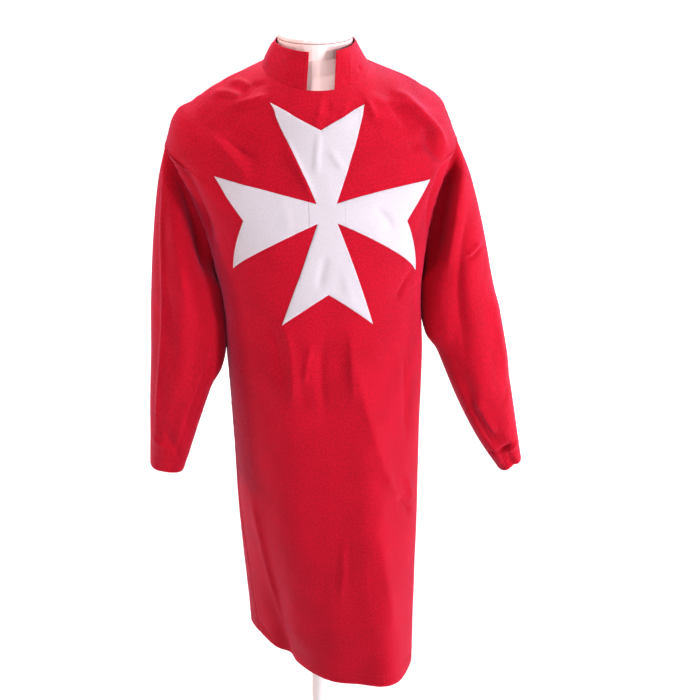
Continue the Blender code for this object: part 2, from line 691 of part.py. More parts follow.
def turned(name, radius, bottom, top, group, surface, rounding=0.0):
    """An upright cylinder, its edges rounded if asked."""
    work = bmesh.new()
    bmesh.ops.create_cone(work, cap_ends=True, segments=ROUND_SIDES, radius1=radius,
                          radius2=radius, depth=top - bottom)
    mesh = bpy.data.meshes.new(name)
    work.to_mesh(mesh)
    work.free()
    mesh.materials.append(surface)
    mesh.shade_smooth()
    mesh.set_sharp_from_angle(angle=math.radians(SMOOTH_ANGLE))
    item = bpy.data.objects.new(name, mesh)
    item.location = (0.0, 0.0, (top + bottom) / 2.0)
    group.objects.link(item)
    if rounding > 0.0:
        bevel = item.modifiers.new("rounding", "BEVEL")
        bevel.width = rounding
        bevel.segments = ROUNDING_STEPS
        bevel.limit_method = "ANGLE"
    return item


def make_stand(group, surface, cap_surface):
    """The cap of the neck, and the pole and foot that carry the form."""
    neck_top = FORM_NECK[0].side_z
    hip = FORM_TRUNK[-1].side_z
    flange = hip - SEAM_GAP - POLE_FLANGE_THICKNESS
    cap = neck_top + SEAM_GAP
    turned("neck_cap", NECK_RADIUS - NECK_CAP_INSET, cap, cap + NECK_CAP_THICKNESS, group,
           cap_surface, SMALL_ROUNDING)
    turned("pole_flange", POLE_FLANGE_RADIUS, flange, hip - SEAM_GAP, group, surface,
           SMALL_ROUNDING)
    turned("stand_pole", POLE_RADIUS, FOOT_THICKNESS + SEAM_GAP, flange - SEAM_GAP, group, surface)
    turned("stand_foot", FOOT_RADIUS, 0.0, FOOT_THICKNESS, group, surface, FOOT_ROUNDING)


def main():
    """Build the whole part."""
    clear_scene()
    group = collection("tunic_on_dress_form")
    cutters = collection("cutters")
    red = material("red cotton", RED_CLOTH, 0.85)
    white = material("white cotton", WHITE_CLOTH, 0.85)
    skin = material("form covering", FORM_SKIN, 0.6)
    paint = material("white paint", STAND_WHITE, 0.4)
    front, front_facing = make_body(group, red)
    make_cross(front, front_facing, group, cutters, white)
    make_form(group, skin)
    make_stand(group, paint, skin)


main()
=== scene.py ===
"""Looks of a long red tunic with a white cross on its chest, draped on a headless dress form.

Metres, +Z up, the front faces -Y. Left and right are as seen from the front, so left is -X.
"""
import math
from collections import namedtuple

import bmesh
import bpy
import numpy as np
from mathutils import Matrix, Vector
from mathutils.bvhtree import BVHTree


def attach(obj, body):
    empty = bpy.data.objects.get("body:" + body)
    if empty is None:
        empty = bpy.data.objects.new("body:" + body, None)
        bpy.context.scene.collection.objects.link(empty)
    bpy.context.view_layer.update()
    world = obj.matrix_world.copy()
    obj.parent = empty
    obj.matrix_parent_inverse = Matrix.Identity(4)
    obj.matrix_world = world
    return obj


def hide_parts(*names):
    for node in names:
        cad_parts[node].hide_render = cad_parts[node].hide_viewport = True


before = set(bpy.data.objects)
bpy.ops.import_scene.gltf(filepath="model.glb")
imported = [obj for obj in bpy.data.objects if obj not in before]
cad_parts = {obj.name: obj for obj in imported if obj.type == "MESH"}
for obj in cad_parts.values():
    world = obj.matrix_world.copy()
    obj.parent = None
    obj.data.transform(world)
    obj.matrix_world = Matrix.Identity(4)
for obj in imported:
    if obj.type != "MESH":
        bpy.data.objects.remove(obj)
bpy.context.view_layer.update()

MILLIMETRES = 1000.0

# Cloth
CLOTH_THICKNESS = 0.0016
APPLIQUE_THICKNESS = 0.0012
SEAM_GAP = 0.0003
ARMHOLE_GAP = 0.0012
COLLAR_GAP = 0.0005
FORM_CLEARANCE = 0.0006
FORM_REACH = 0.03

# Columns and rows of the cloth: a coarse count, and the steps that each is divided into
COLLAR_OPENING_ANGLE = 14.4
NECK_COLUMNS = 3
FRONT_COLUMNS = 11
BACK_COLUMNS = 12
COLUMN_STEPS = 6
ARMHOLE_ROWS = 8
SKIRT_ROWS = 14
ROW_STEPS = 10
SLEEVE_ROWS = 200
COLLAR_ROWS = 24
COLLAR_CURVE = 0.12
# Degrees by which the top edge of each half stands back from the line of the opening
COLLAR_SPREAD = {"collar_left": 0.0, "collar_right": 11.0}
COLLAR_EDGE_FADE = 0.006
COLLAR_FADE_ROWS = 4.0

SHOULDER_POWER = 1.6
SKEW_ANGLE = 39.0
ARMHOLE_FRONT_DEPTH = 0.029
ARMHOLE_FRONT_INSET = 0.014
ARMHOLE_BACK_DEPTH = 0.052

# Cross, all from its centre
CROSS_REACH = 0.186
CROSS_TIP = 0.080
CROSS_NOTCH = 0.139
CROSS_CROTCH = 0.0165
CROSS_JOIN = 0.030
CROSS_HEIGHT = 1.250
CROSS_SIDE = 0.006
CROSS_LOWER_LENGTH = 1.05
CROSS_LEAN = 2.0
CROSS_BOW = 0.006
CROSS_DROP_LEFT = 0.021
CROSS_DROP_RIGHT = 0.040
CROSS_DROP_POWER = 1.6
CROSS_GATHER = 0.11
CROSS_MESH_STEP = 0.004
# The level lines of the front that the cross is laid along: their reach below and above its centre
LEVELS_BELOW = 0.28
LEVELS_ABOVE = 0.24
LEVEL_STEP = 0.002
LEVEL_MARGIN = 0.001
# Points and planes nearer than this count as one
TOUCHING = 1e-6
# Its edge: how far in it is rolled, how low the roll starts, and the dent along the stitches
CROSS_ROLL = 0.0012
CROSS_ROLL_START = 0.35
CROSS_DENT = 0.00025
CROSS_DENT_AT = 0.0045
CROSS_DENT_WIDTH = 0.0012
CROSS_SHARP_ANGLE = 50.0


def table(kind, rows):
    """Rows of values as tuples with named columns."""
    return [kind(*row) for row in rows]


# A section is round at a power of 1 and squarer below it
Section = namedtuple("Section", "side_z front_z back_z centre half_width front back skew power",
                     defaults=(0.0, 0.97))
NECKLINE_TO_ARMHOLE = table(Section, [
    # side_z front_z back_z centre half_width front back skew power
    (1.466, 1.445, 1.478, 0.000, 0.090, 0.100, 0.078),
    (1.452, 1.408, 1.450, 0.000, 0.128, 0.119, 0.098),
    (1.432, 1.366, 1.412, 0.000, 0.172, 0.129, 0.112),
    (1.408, 1.330, 1.372, 0.000, 0.208, 0.134, 0.119),
    (1.394, 1.305, 1.345, -0.008, 0.226, 0.136, 0.121, 0.0, 0.95),
    (1.335, 1.270, 1.300, -0.007, 0.248, 0.137, 0.123, 0.0, 0.92),
])
ARMPIT_TO_HEM = table(Section, [
    # side_z front_z back_z centre half_width front back skew power
    (1.100, 1.085, 1.095, 0.004, 0.180, 0.135, 0.125, 0.00, 0.80),
    (0.950, 0.945, 0.950, 0.012, 0.175, 0.136, 0.130, 0.00, 0.84),
    (0.800, 0.800, 0.800, 0.013, 0.170, 0.138, 0.134, 0.04, 0.88),
    (0.620, 0.620, 0.620, 0.014, 0.164, 0.140, 0.138, 0.11, 0.92),
    (0.470, 0.470, 0.470, 0.015, 0.152, 0.141, 0.139, 0.21, 0.96),
    (0.333, 0.333, 0.333, 0.016, 0.143, 0.141, 0.140, 0.30, 1.00),
])
COLLAR_TOP = Section(1.507, 1.503, 1.512, 0.000, 0.0665, 0.079, 0.068)

# The main folds of the body and the sleeves, down and round each
Fold = namedtuple("Fold", "start end angle_start angle_end height_start height_end width")
BODY_FOLDS = table(Fold, [
    # start end angle_start angle_end height_start height_end width
    (0.40, 1.40, 12, 37, 0.004, 0.024, 0.034),
    (0.80, 1.40, 20, 13, 0.000, -0.016, 0.030),
    (0.76, 1.40, -60, -57, 0.000, -0.018, 0.026),
    (0.45, 1.10, -22, -34, 0.003, 0.009, 0.040),
    (0.00, 0.17, 34, 74, 0.006, 0.010, 0.018),
    (0.01, 0.13, 26, 50, 0.004, 0.006, 0.014),
    (0.00, 0.07, 0, -4, 0.004, 0.002, 0.012),
    (0.02, 0.10, -44, -66, 0.004, 0.007, 0.015),
    (0.15, 1.40, 160, 150, 0.002, -0.022, 0.045),
    (0.20, 1.40, -166, -150, 0.003, 0.018, 0.050),
    (0.38, 1.40, 120, 116, 0.000, -0.018, 0.038),
    (0.38, 1.40, -116, -124, 0.000, -0.014, 0.036),
])
FOLD_FADE = 0.07
BODY_FOLD_RADIUS = 0.15
NECKLINE_FADE = 0.04
ARMHOLE_FADE_ROWS = 2.0
ARMHOLE_FADE_COLUMNS = 3.0

SleeveSection = namedtuple("SleeveSection", "outer_x outer_z inner_x inner_z depth forward power")
LEFT_SLEEVE = table(SleeveSection, [
    # outer_x outer_z inner_x inner_z depth forward power
    (-0.271, 1.270, -0.1725, 1.060, 0.060, 0.002, 1.00),
    (-0.284, 1.170, -0.1685, 1.010, 0.064, 0.004, 0.95),
    (-0.293, 1.060, -0.1725, 0.955, 0.062, 0.006, 0.90),
    (-0.298, 0.960, -0.191, 0.900, 0.057, 0.008, 0.85),
    (-0.304, 0.870, -0.2145, 0.835, 0.052, 0.010, 0.80),
    (-0.307, 0.800, -0.2335, 0.778, 0.047, 0.010, 0.75),
    (-0.310, 0.748, -0.248, 0.737, 0.044, 0.010, 0.70),
])
RIGHT_SLEEVE = table(SleeveSection, [
    # outer_x outer_z inner_x inner_z depth forward power
    (0.267, 1.270, 0.1872, 1.065, 0.060, 0.002, 1.00),
    (0.291, 1.180, 0.1885, 1.030, 0.064, 0.004, 0.95),
    (0.309, 1.090, 0.1975, 0.985, 0.062, 0.006, 0.90),
    (0.332, 0.980, 0.2205, 0.930, 0.058, 0.008, 0.85),
    (0.352, 0.870, 0.2545, 0.845, 0.054, 0.010, 0.80),
    (0.366, 0.785, 0.2915, 0.770, 0.048, 0.012, 0.75),
    (0.3755, 0.729, 0.332, 0.706, 0.042, 0.013, 0.75),
])
LEFT_SLEEVE_FOLDS = table(Fold, [
    # start end angle_start angle_end height_start height_end width
    (0.00, 0.60, 155, 158, 0.010, 0.007, 0.030),
    (0.05, 0.70, 60, 90, 0.004, 0.006, 0.020),
    (0.35, 1.10, 200, 230, -0.004, -0.007, 0.018),
    (0.70, 0.95, 60, 120, -0.004, -0.004, 0.012),
])
RIGHT_SLEEVE_FOLDS = table(Fold, [
    # start end angle_start angle_end height_start height_end width
    (0.00, 0.55, 155, 158, 0.010, 0.009, 0.030),
    (0.08, 0.75, 70, 95, 0.005, 0.006, 0.020),
    (0.55, 1.10, 130, 70, -0.005, -0.008, 0.014),
    (0.45, 1.10, 240, 215, -0.004, -0.007, 0.018),
])
SLEEVE_FOLD_FADE = 0.12
SLEEVE_CREASE_FADE = 0.03
SLEEVE_FOLD_RADIUS = 0.055
ARMHOLE_SETTLE = 0.10

Crease = namedtuple("Crease", "height left right line")


def creases(rows):
    """Finer creases, from rows in millimetres as lines of (x, z) over the cloth.

    A ridge has a positive height, and the two widths are those of its left and right flank.
    """
    return [Crease(height / MILLIMETRES, left / MILLIMETRES, right / MILLIMETRES,
                   np.array(line) / MILLIMETRES) for height, left, right, line in rows]


FRONT_CREASES = creases([
    # height left right line
    (8.5, 12, 8, [(115, 1437), (150, 1412), (190, 1370), (222, 1318)]),
    (-7.5, 9, 10, [(99, 1430), (140, 1400), (175, 1360), (206, 1306)]),
    (-5.5, 9, 14, [(149, 1400), (153, 1373), (156, 1335)]),
    (-10, 10, 26, [(228, 1325), (208, 1292), (196, 1250), (186, 1150)]),
    (3, 4, 7, [(70, 1434), (80, 1414), (88, 1390)]),
    (2.5, 7, 5, [(4, 1442), (-3, 1415), (-6, 1386)]),
    (-3, 5, 6, [(20, 1434), (3, 1410), (-10, 1394)]),
    (2.2, 6, 5, [(51, 1436), (39, 1420), (26, 1402)]),
    (3.6, 4.5, 3, [(-180, 1424), (-150, 1430), (-120, 1428)]),
    (3.2, 3, 4, [(-150, 1441), (-127, 1446), (-104, 1440)]),
    (-3, 4, 3, [(-120, 1437), (-99, 1447), (-79, 1452)]),
    (3.4, 5, 4, [(-146, 1417), (-113, 1425), (-78, 1438)]),
    (3.2, 6, 4, [(-64, 1380), (-38, 1324), (-11, 1262)]),
    (-3.2, 11, 11, [(-195, 1403), (-148, 1374), (-102, 1331)]),
    (3, 12, 12, [(-190, 1375), (-150, 1345), (-110, 1290)]),
    (-8, 26, 16, [(-240, 1338), (-222, 1290), (-201, 1230), (-180, 1140)]),
    (3, 6, 8, [(-76, 1070), (-60, 1014), (-56, 950), (-57, 890)]),
    (-2, 7, 7, [(-94, 1060), (-80, 1000), (-74, 930)]),
    (2.2, 7, 6, [(-22, 1025), (-30, 978), (-38, 930)]),
    (-1.8, 8, 8, [(1, 1041), (-6, 968), (2, 860)]),
    (2, 7, 7, [(44, 1040), (45, 960), (52, 900)]),
    (3, 12, 18, [(47, 1045), (52, 965), (80, 860), (110, 751), (147, 680)]),
    (2.5, 12, 12, [(96, 650), (110, 540), (126, 430)]),
    (1.6, 6, 6, [(31, 640), (30, 570), (25, 500)]),
    (3.5, 10, 6, [(-134, 718), (-122, 649), (-112, 600), (-100, 529), (-81, 444), (-62, 345)]),
    (-3, 7, 8, [(142, 1020), (147, 900), (150, 790)]),
    (3, 5, 5, [(145, 740), (156, 709), (161, 672)]),
    (-3.5, 4, 5, [(128, 704), (147, 680), (161, 652)]),
    (2.2, 6, 6, [(106, 768), (120, 727), (138, 698)]),
    (-3.5, 5, 6, [(160, 1138), (138, 1104), (124, 1080)]),
    (1.8, 4, 3, [(-4, 1390), (-9, 1348), (-12, 1310)]),
    (1.7, 5, 5, [(10, 1360), (25, 1334), (37, 1322)]),
    (-1.7, 6, 6, [(-10, 1110), (-3, 1147), (5, 1180)]),
    (-1.8, 8, 6, [(80, 1260), (105, 1235), (120, 1205)]),
])
BACK_CREASES = creases([
    # height left right line
    (-5, 12, 10, [(110, 1440), (150, 1400), (185, 1350), (210, 1290)]),
    (4.5, 10, 12, [(120, 1430), (150, 1370), (170, 1300), (180, 1220)]),
    (-5, 10, 12, [(-110, 1440), (-155, 1395), (-190, 1340), (-215, 1280)]),
    (4, 12, 10, [(-115, 1425), (-150, 1360), (-168, 1290), (-176, 1230)]),
    (2.5, 12, 12, [(-60, 1400), (-80, 1320), (-85, 1240)]),
    (2.5, 12, 12, [(60, 1390), (70, 1300), (78, 1220)]),
    (-3, 14, 14, [(30, 1180), (40, 1060), (36, 940)]),
    (3, 12, 16, [(-50, 1120), (-66, 1000), (-60, 860)]),
    (3.5, 14, 12, [(90, 1020), (100, 880), (112, 700)]),
    (-3, 10, 10, [(-110, 980), (-116, 850), (-104, 720)]),
    (3.5, 14, 12, [(20, 820), (12, 640), (22, 450)]),
    (-3, 10, 12, [(-90, 700), (-80, 560), (-70, 420)]),
    (2.5, 7, 7, [(130, 760), (142, 720), (150, 660)]),
])
LEFT_SLEEVE_CREASES = creases([
    # height left right line
    (2.2, 10, 3, [(-184, 1005), (-196, 980), (-221, 917), (-249, 838), (-277, 745)]),
    (2.8, 3.5, 3.5, [(-258, 1320), (-265, 1217), (-273, 1033), (-289, 885), (-298, 790)]),
    (-10, 12, 12, [(-236, 1330), (-216, 1270), (-200, 1190), (-188, 1080)]),
    (3.5, 12, 14, [(-250, 1250), (-240, 1150), (-228, 1040)]),
    (-2.5, 12, 12, [(-262, 1120), (-258, 1020), (-262, 930)]),
    (2, 6, 6, [(-303, 815), (-292, 800), (-280, 795)]),
])
RIGHT_SLEEVE_CREASES = creases([
    # height left right line
    (-8, 12, 12, [(240, 1315), (220, 1260), (205, 1190), (195, 1090)]),
    (4.5, 10, 12, [(252, 1300), (240, 1240), (230, 1170), (222, 1100)]),
    (-5, 12, 16, [(262, 1230), (244, 1150), (240, 1060), (262, 930)]),
    (3, 4, 6, [(254, 1143), (268, 1150), (284, 1163)]),
    (-2.6, 6, 4, [(250, 1134), (268, 1138), (286, 1150)]),
    (3.5, 12, 16, [(300, 1080), (320, 980), (338, 880)]),
    (-4.5, 7, 6, [(262, 872), (285, 826), (306, 786), (329, 750)]),
    (4, 6, 7, [(275, 876), (300, 826), (322, 786)]),
    (-3.4, 5, 5, [(322, 745), (338, 757), (354, 771)]),
    (-2.8, 5, 4, [(330, 755), (340, 732), (345, 716)]),
    (2.2, 4, 5, [(336, 748), (352, 757), (366, 772)]),
    (-2, 4, 4, [(305, 752), (320, 748), (332, 750)]),
])
COLLAR_CREASES = creases([
    # height left right line
    (2.2, 6, 5, [(-62, 1512), (-75, 1490), (-83, 1468)]),
    (-1.2, 4, 4, [(38, 1459), (43, 1457), (48, 1456)]),
    (-1.4, 4, 3, [(63, 1474), (68, 1471), (72, 1466)]),
    (1, 5, 5, [(-55, 1500), (-50, 1480), (-52, 1462)]),
    (0.8, 4, 4, [(55, 1500), (50, 1485), (52, 1468)]),
])
SLEEVE_BACK_CREASES = creases([
    # height left right line, on the left sleeve; the right one has them mirrored
    (-4, 10, 12, [(-240, 1290), (-222, 1220), (-210, 1130)]),
    (3.5, 12, 12, [(-262, 1220), (-256, 1120), (-262, 1010)]),
    (-3.5, 10, 10, [(-240, 1040), (-258, 960), (-270, 860)]),
    (3, 7, 7, [(-230, 985), (-250, 960), (-275, 950)]),
    (-2.6, 6, 7, [(-228, 960), (-250, 940), (-276, 932)]),
])

CREASE_POINTS = 9
CREASE_TAPER = 0.3
CREASE_STRENGTH = 1.7
CREASE_SHARPNESS = 1.5
FACING_FADE = 0.35
# How far the creases of the sleeves' backs lie further out on the right sleeve
RIGHT_SLEEVE_SHIFT = 0.01

# Faint soft creases at random places: how many, their greatest height, shortest and longest
# reach, and how far they lean
Unevenness = namedtuple("Unevenness", "count height low high lean")
BODY_UNEVEN = Unevenness(90, 0.0011, 0.03, 0.10, 0.35)
BODY_CRUMPLED = Unevenness(120, 0.0005, 0.012, 0.035, 0.9)
SLEEVE_UNEVEN = Unevenness(60, 0.0008, 0.02, 0.06, 0.3)
COLLAR_UNEVEN = Unevenness(30, 0.0006, 0.008, 0.02, 0.5)
UNEVEN_WIDTH_LOW = 0.10
UNEVEN_WIDTH_HIGH = 0.22
# Where the random draws of each piece start, and what is added for its other draws
CRUMPLED_SEED = 20
SEAM_SEED = 40
SLEEVE_BACK_SEED = 10
SLEEVE_SEAM_SEED = 20
SEEDS = {"front": 11, "back": 12, "sleeve_left": 31, "sleeve_right": 32, "collar_left": 51,
         "collar_right": 52}

# Each piece's cut: across and down in metres, its area in square metres, and how it is held
Cut = namedtuple("Cut", "flat area held rests_on")

# Surroundings
BRIGHT_SIDE = (0.75, -0.35, 0.55)
VIEW_GAMMA = 0.8
WORLD_DIM = 0.06
WORLD_BRIGHT = 0.14
HORIZON_BRIGHT = 0.95
HORIZON_HEIGHT = 0.16
FLOOR_SIZE = 60.0
FLOOR_GLOW = 0.95
FLOOR_GLOW_FROM = 0.9
FLOOR_GLOW_TO = 3.8
WHITE = (1.0, 1.0, 1.0, 1.0)
LAMPS_AIM = (0.0, 0.0, 1.05)
Lamp = namedtuple("Lamp", "name place size power colour")
LAMPS = table(Lamp, [
    # name place size power colour
    ("key", (2.7, -1.3, 1.9), 0.40, 57.0, (0.93, 0.94, 1.0)),
    ("right_low", (2.2, -2.0, 0.7), 0.45, 56.0, (0.97, 0.95, 1.0)),
    ("right_rim", (2.4, 1.4, 2.2), 0.50, 26.0, (0.90, 0.93, 1.0)),
    ("left", (-2.9, 0.4, 1.5), 0.40, 36.0, (1.0, 0.60, 0.50)),
    ("left_top", (-1.0, -0.9, 3.2), 0.80, 33.0, (1.0, 0.92, 0.92)),
    ("top", (0.3, 0.3, 3.4), 0.80, 36.0, (1.0, 1.0, 1.0)),
    ("back_top", (0.0, 2.0, 3.0), 0.60, 40.0, (1.0, 1.0, 1.0)),
])

# The photograph's view: from a little above, turned slightly to the right
CAMERA_SENSOR = 36.0
CAMERA_LENS = 79.6
CAMERA_PLACE = (-0.2103, -2.5540, 2.05)
CAMERA_TILT = 66.7
CAMERA_TURN = -6.0

# Seams
SEAM_DIP = 0.0008
SEAM_DIP_WIDTH = 0.0025
SEAM_BAND = 0.0016
SEAM_BAND_AT = 0.007
SEAM_BAND_WIDTH = 0.005
SEAM_PUCKER = 0.0005
SEAM_PUCKER_REACH = 0.014
SEAM_FADE = 0.006
SEAM_FLAT_SHARE = 0.25
RIPPLE_PERIODS = (0.013, 0.019, 0.031)

# The hem's left corner hangs a little higher than the rest
HEM_LIFT = 0.026
HEM_LIFT_ANGLE = -99.0
HEM_LIFT_SPREAD = 25.0
HEM_LIFT_FROM = 0.460
HEM_LIFT_REACH = 0.127

# Stitches
STITCH_LENGTH = 0.0028
STITCH_PITCH = 0.0040
STITCH_RADIUS = 0.00035
STITCH_SIDES = 6
# How far a stitch's middle lies above the cloth, as a share of its radius
STITCH_LIFT = 0.5
# Along a stitch, as shares of its length from its middle, and its thickness there
STITCH_PROFILE = [(-0.5, 0.45), (-0.36, 1.0), (0.36, 1.0), (0.5, 0.45)]
CROSS_STITCH_SPACING = 0.002
# A stitch line ends where it comes nearer than this share of its inset to the next edge
CORNER_SHARE = 0.98
CROSS_STITCH_INSET = 0.0028
COLLAR_STITCH_INSET = 0.0035
HEM_DEPTH = 0.022
CUFF_DEPTH = 0.030
# Where the cloth is turned up: how much thicker, over what stretch, and the dent of its stitches
TURNED_UP = 0.0009
TURN_STRETCH = 0.002
TURN_DENT = 0.0003
TURN_DENT_ABOVE = 0.0015
TURN_DENT_WIDTH = 0.0012
ROLLED_EDGE_TURNS = (45.0, 90.0, 135.0)

# Materials
CLOTH_ROUGHNESS = 0.62
CLOTH_SPECULAR = 0.12
SHEEN_ROUGHNESS = 0.45
WEAVE_SHARES = (0.65, 0.35)
WEAVE_DISTORTION = 1.2
DYE_PATCHES = 0.25
DYE_RANGE = (0.34, 0.66)
SLUB_HEIGHT = 0.5
THREAD_ROUGHNESS = 0.6
COVERING_ROUGHNESS = 0.55
PAINT_ROUGHNESS = (0.32, 0.48)
PAINT_COAT = 0.2
FLOOR_ROUGHNESS = 0.9
FLOOR_SPECULAR = 0.1
# How far up a face of the dress form looks where its top's painted light starts (painted shade on the
# torso, a painted highlight on the neck cap), and where it is whole
PAINTED_LIGHT_TOP_FROM = 0.2
PAINTED_LIGHT_TOP_TO = 0.8
# The scale and detail of a grain, and how strong and how deep its relief is
Grain = namedtuple("Grain", "scale detail strength depth")
THREAD_GRAIN = Grain(1500.0, 2.0, 0.3, 0.0001)
COVERING_GRAIN = Grain(60.0, 5.0, 0.08, 0.001)
PAINT_GRAIN = Grain(900.0, 2.0, 0.1, 0.0003)
# Scale and detail of the noise in the cloth's yarns and dye and on the floor
YARN_NOISE = (300.0, 3.0)
DYE_NOISE = (14.0, 4.0)
FLOOR_NOISE = (3.0, 2.0)
CLOTH_RELIEF_DEPTH = 0.0004
# What one over the yarns' pitch is multiplied by, for a wave texture's scale
BANDS_TO_SCALE = 2.0 * math.pi / 20.0
# A mix node's sockets for colours
MIX_COLOUR_A = 6
MIX_COLOUR_B = 7
MIX_COLOUR_RESULT = 2
Weave = namedtuple("Weave", "name light dark sheen sheen_tint pitch turn relief")
RED_CLOTH = Weave("red_cotton", (0.57, 0.005, 0.033, 1.0), (0.38, 0.002, 0.017, 1.0), 0.26,
                  (0.80, 0.48, 0.85, 1.0), 0.0011, 45.0, 0.8)
WHITE_CLOTH = Weave("white_cotton", (0.58, 0.54, 0.575, 1.0), (0.535, 0.495, 0.53, 1.0), 0.08,
                    WHITE, 0.0009, 0.0, 0.3)
RED_THREAD = ((0.42, 0.010, 0.024, 1.0), (0.55, 0.020, 0.045, 1.0))
WHITE_THREAD = ((0.62, 0.58, 0.62, 1.0), (0.72, 0.68, 0.72, 1.0))
COVERING = ((0.84, 0.65, 0.63, 1.0), (0.89, 0.71, 0.69, 1.0))
# Painted shade: the form's covering is darker where it faces up, against the top lamps' light on its
# upward slopes
COVERING_TOP_PAINTED_SHADE = (0.70, 0.54, 0.52, 1.0)
# Painted highlight: the neck cap's top is near white where it faces up, standing in for strong light from
# above
CAP_TOP_PAINTED_HIGHLIGHT = (0.92, 0.91, 0.90, 1.0)
PAINT = ((0.83, 0.83, 0.83, 1.0), (0.90, 0.90, 0.90, 1.0))
PALE_FLOOR = ((0.92, 0.92, 0.92, 1.0), (0.95, 0.95, 0.95, 1.0))


def smoothstep(value):
    """Ease from 0 to 1, flat at both ends."""
    value = np.clip(value, 0.0, 1.0)
    return value * value * (3.0 - 2.0 * value)


def through(rows, stations, at):
    """A smooth curve through rows of values, read at other stations."""
    rows = np.asarray(rows, float)
    stations = np.asarray(stations, float)
    at = np.asarray(at, float)
    slopes = np.gradient(rows, stations, axis=0)
    low = np.clip(np.searchsorted(stations, at) - 1, 0, len(stations) - 2)
    length = (stations[low + 1] - stations[low])[:, None]
    part = (at - stations[low])[:, None] / length
    ease = part * part * (3.0 - 2.0 * part)
    leave = part * (1.0 - part) ** 2 * length
    arrive = part * part * (part - 1.0) * length
    return rows[low] * (1.0 - ease) + rows[low + 1] * ease + slopes[low] * leave + slopes[low + 1] * arrive


def divided(values, steps):
    """Each stretch between neighbouring values, in equal steps."""
    values = np.asarray(values, float)
    at = np.arange((len(values) - 1) * steps + 1) / steps
    return np.interp(at, np.arange(len(values)), values)


def read_points(at, along, points):
    """A table of points or directions, read at other places along it."""
    return np.stack([np.interp(at, along, points[..., axis]) for axis in range(3)], axis=-1)


def front_angles():
    """Columns of the front, from the left side seam to the right one."""
    opening = np.linspace(0.0, COLLAR_OPENING_ANGLE, NECK_COLUMNS + 1)
    rest = np.linspace(COLLAR_OPENING_ANGLE, 90.0, FRONT_COLUMNS + 1)[1:]
    half = np.concatenate([opening, rest])
    return np.radians(divided(np.concatenate([-half[:0:-1], half]), COLUMN_STEPS))


def back_angles():
    """Columns of the back, from the right side seam round to the left one."""
    return np.radians(np.linspace(90.0, 270.0, 2 * BACK_COLUMNS * COLUMN_STEPS + 1))


def ring(section, angles, side_y=0.0):
    """The points of one section; side_y moves its two ends, as at an armhole."""
    along = np.cos(angles)
    across = np.sin(angles)
    reach = np.abs(along) ** section.power
    spread = np.sign(across) * np.abs(across) ** section.power
    facing_front = along > 0.0
    depth = np.where(facing_front, -section.front, section.back)
    height = np.where(facing_front, section.front_z, section.back_z)
    rise = 1.0 - np.abs(along) ** SHOULDER_POWER
    draw = 1.0 + section.skew * np.cos(2.0 * (angles - math.radians(SKEW_ANGLE)))
    x = section.centre + section.half_width * spread * draw
    y = side_y * (1.0 - reach) + depth * reach * draw
    z = height + (section.side_z - height) * rise
    return np.stack([x, y, z], axis=1)


def armhole_loop(side):
    """The armhole's points from its top round by the front, side being -1 or 1."""
    top = NECKLINE_TO_ARMHOLE[-1]
    bottom = ARMPIT_TO_HEM[0]
    high = np.array([top.centre + side * top.half_width, 0.0, top.side_z])
    low = np.array([bottom.centre + side * bottom.half_width, 0.0, bottom.side_z])
    turns = np.linspace(0.0, 2.0 * math.pi, 2 * ARMHOLE_ROWS * ROW_STEPS + 1)[:-1]
    middle = (high + low) / 2.0
    half = (high - low) / 2.0
    ahead = np.sin(turns)
    depth = np.where(ahead > 0.0, -ARMHOLE_FRONT_DEPTH, -ARMHOLE_BACK_DEPTH) * ahead
    inset = -side * ARMHOLE_FRONT_INSET * np.clip(ahead, 0.0, 1.0) ** 2
    return middle + np.outer(np.cos(turns), half) + np.stack([inset, depth, 0.0 * depth], axis=1)


def body_rows():
    """Each row's station down the front and its section, and the number of the armhole's first row."""
    sections = NECKLINE_TO_ARMHOLE + ARMPIT_TO_HEM
    steps = [math.hypot(below.front - above.front, below.front_z - above.front_z)
             for above, below in zip(sections, sections[1:])]
    stations = np.concatenate([[0.0], np.cumsum(steps)])
    top = len(NECKLINE_TO_ARMHOLE) - 1
    armhole = np.linspace(stations[top], stations[top + 1], ARMHOLE_ROWS + 1)
    skirt = np.linspace(stations[top + 1], stations[-1], SKIRT_ROWS + 1)[1:]
    at = divided(np.concatenate([stations[:top], armhole, skirt]), ROW_STEPS)
    rows = [Section(*row) for row in through(sections, stations, at)]
    return at, rows, top * ROW_STEPS


def body_grid(rows, first_armhole, angles, towards):
    """The front or the back as rows of points, with its armhole edges; towards is -1 or 1."""
    left = armhole_loop(-1)
    right = armhole_loop(1)
    grid = []
    for number, section in enumerate(rows):
        turn = number - first_armhole
        side_y = 0.0
        if 0 <= turn <= ARMHOLE_ROWS * ROW_STEPS:
            index = turn if towards < 0 else -turn
            edge_left = left[index]
            edge_right = right[index]
            section = section._replace(centre=(edge_left[0] + edge_right[0]) / 2.0,
                                       half_width=(edge_right[0] - edge_left[0]) / 2.0,
                                       side_z=edge_left[2])
            side_y = edge_left[1]
        grid.append(ring(section, angles, side_y))
    return np.array(grid)


def unit(vectors):
    """Each vector at length 1."""
    return vectors / np.linalg.norm(vectors, axis=-1, keepdims=True)


def normals(grid, closed=False):
    """Outward directions on a grid whose rows run down and whose columns run anticlockwise."""
    down = np.gradient(grid, axis=0)
    if closed:
        along = (np.roll(grid, -1, axis=1) - np.roll(grid, 1, axis=1)) / 2.0
    else:
        along = np.gradient(grid, axis=1)
    return unit(np.cross(down, along))


def share(first, second):
    """Directions for two edges that meet: equal where the surfaces run on into each other."""
    agreement = np.clip(np.sum(first * second, axis=-1, keepdims=True), 0.0, 1.0) ** 2
    return unit(first + agreement * second), unit(second + agreement * first)


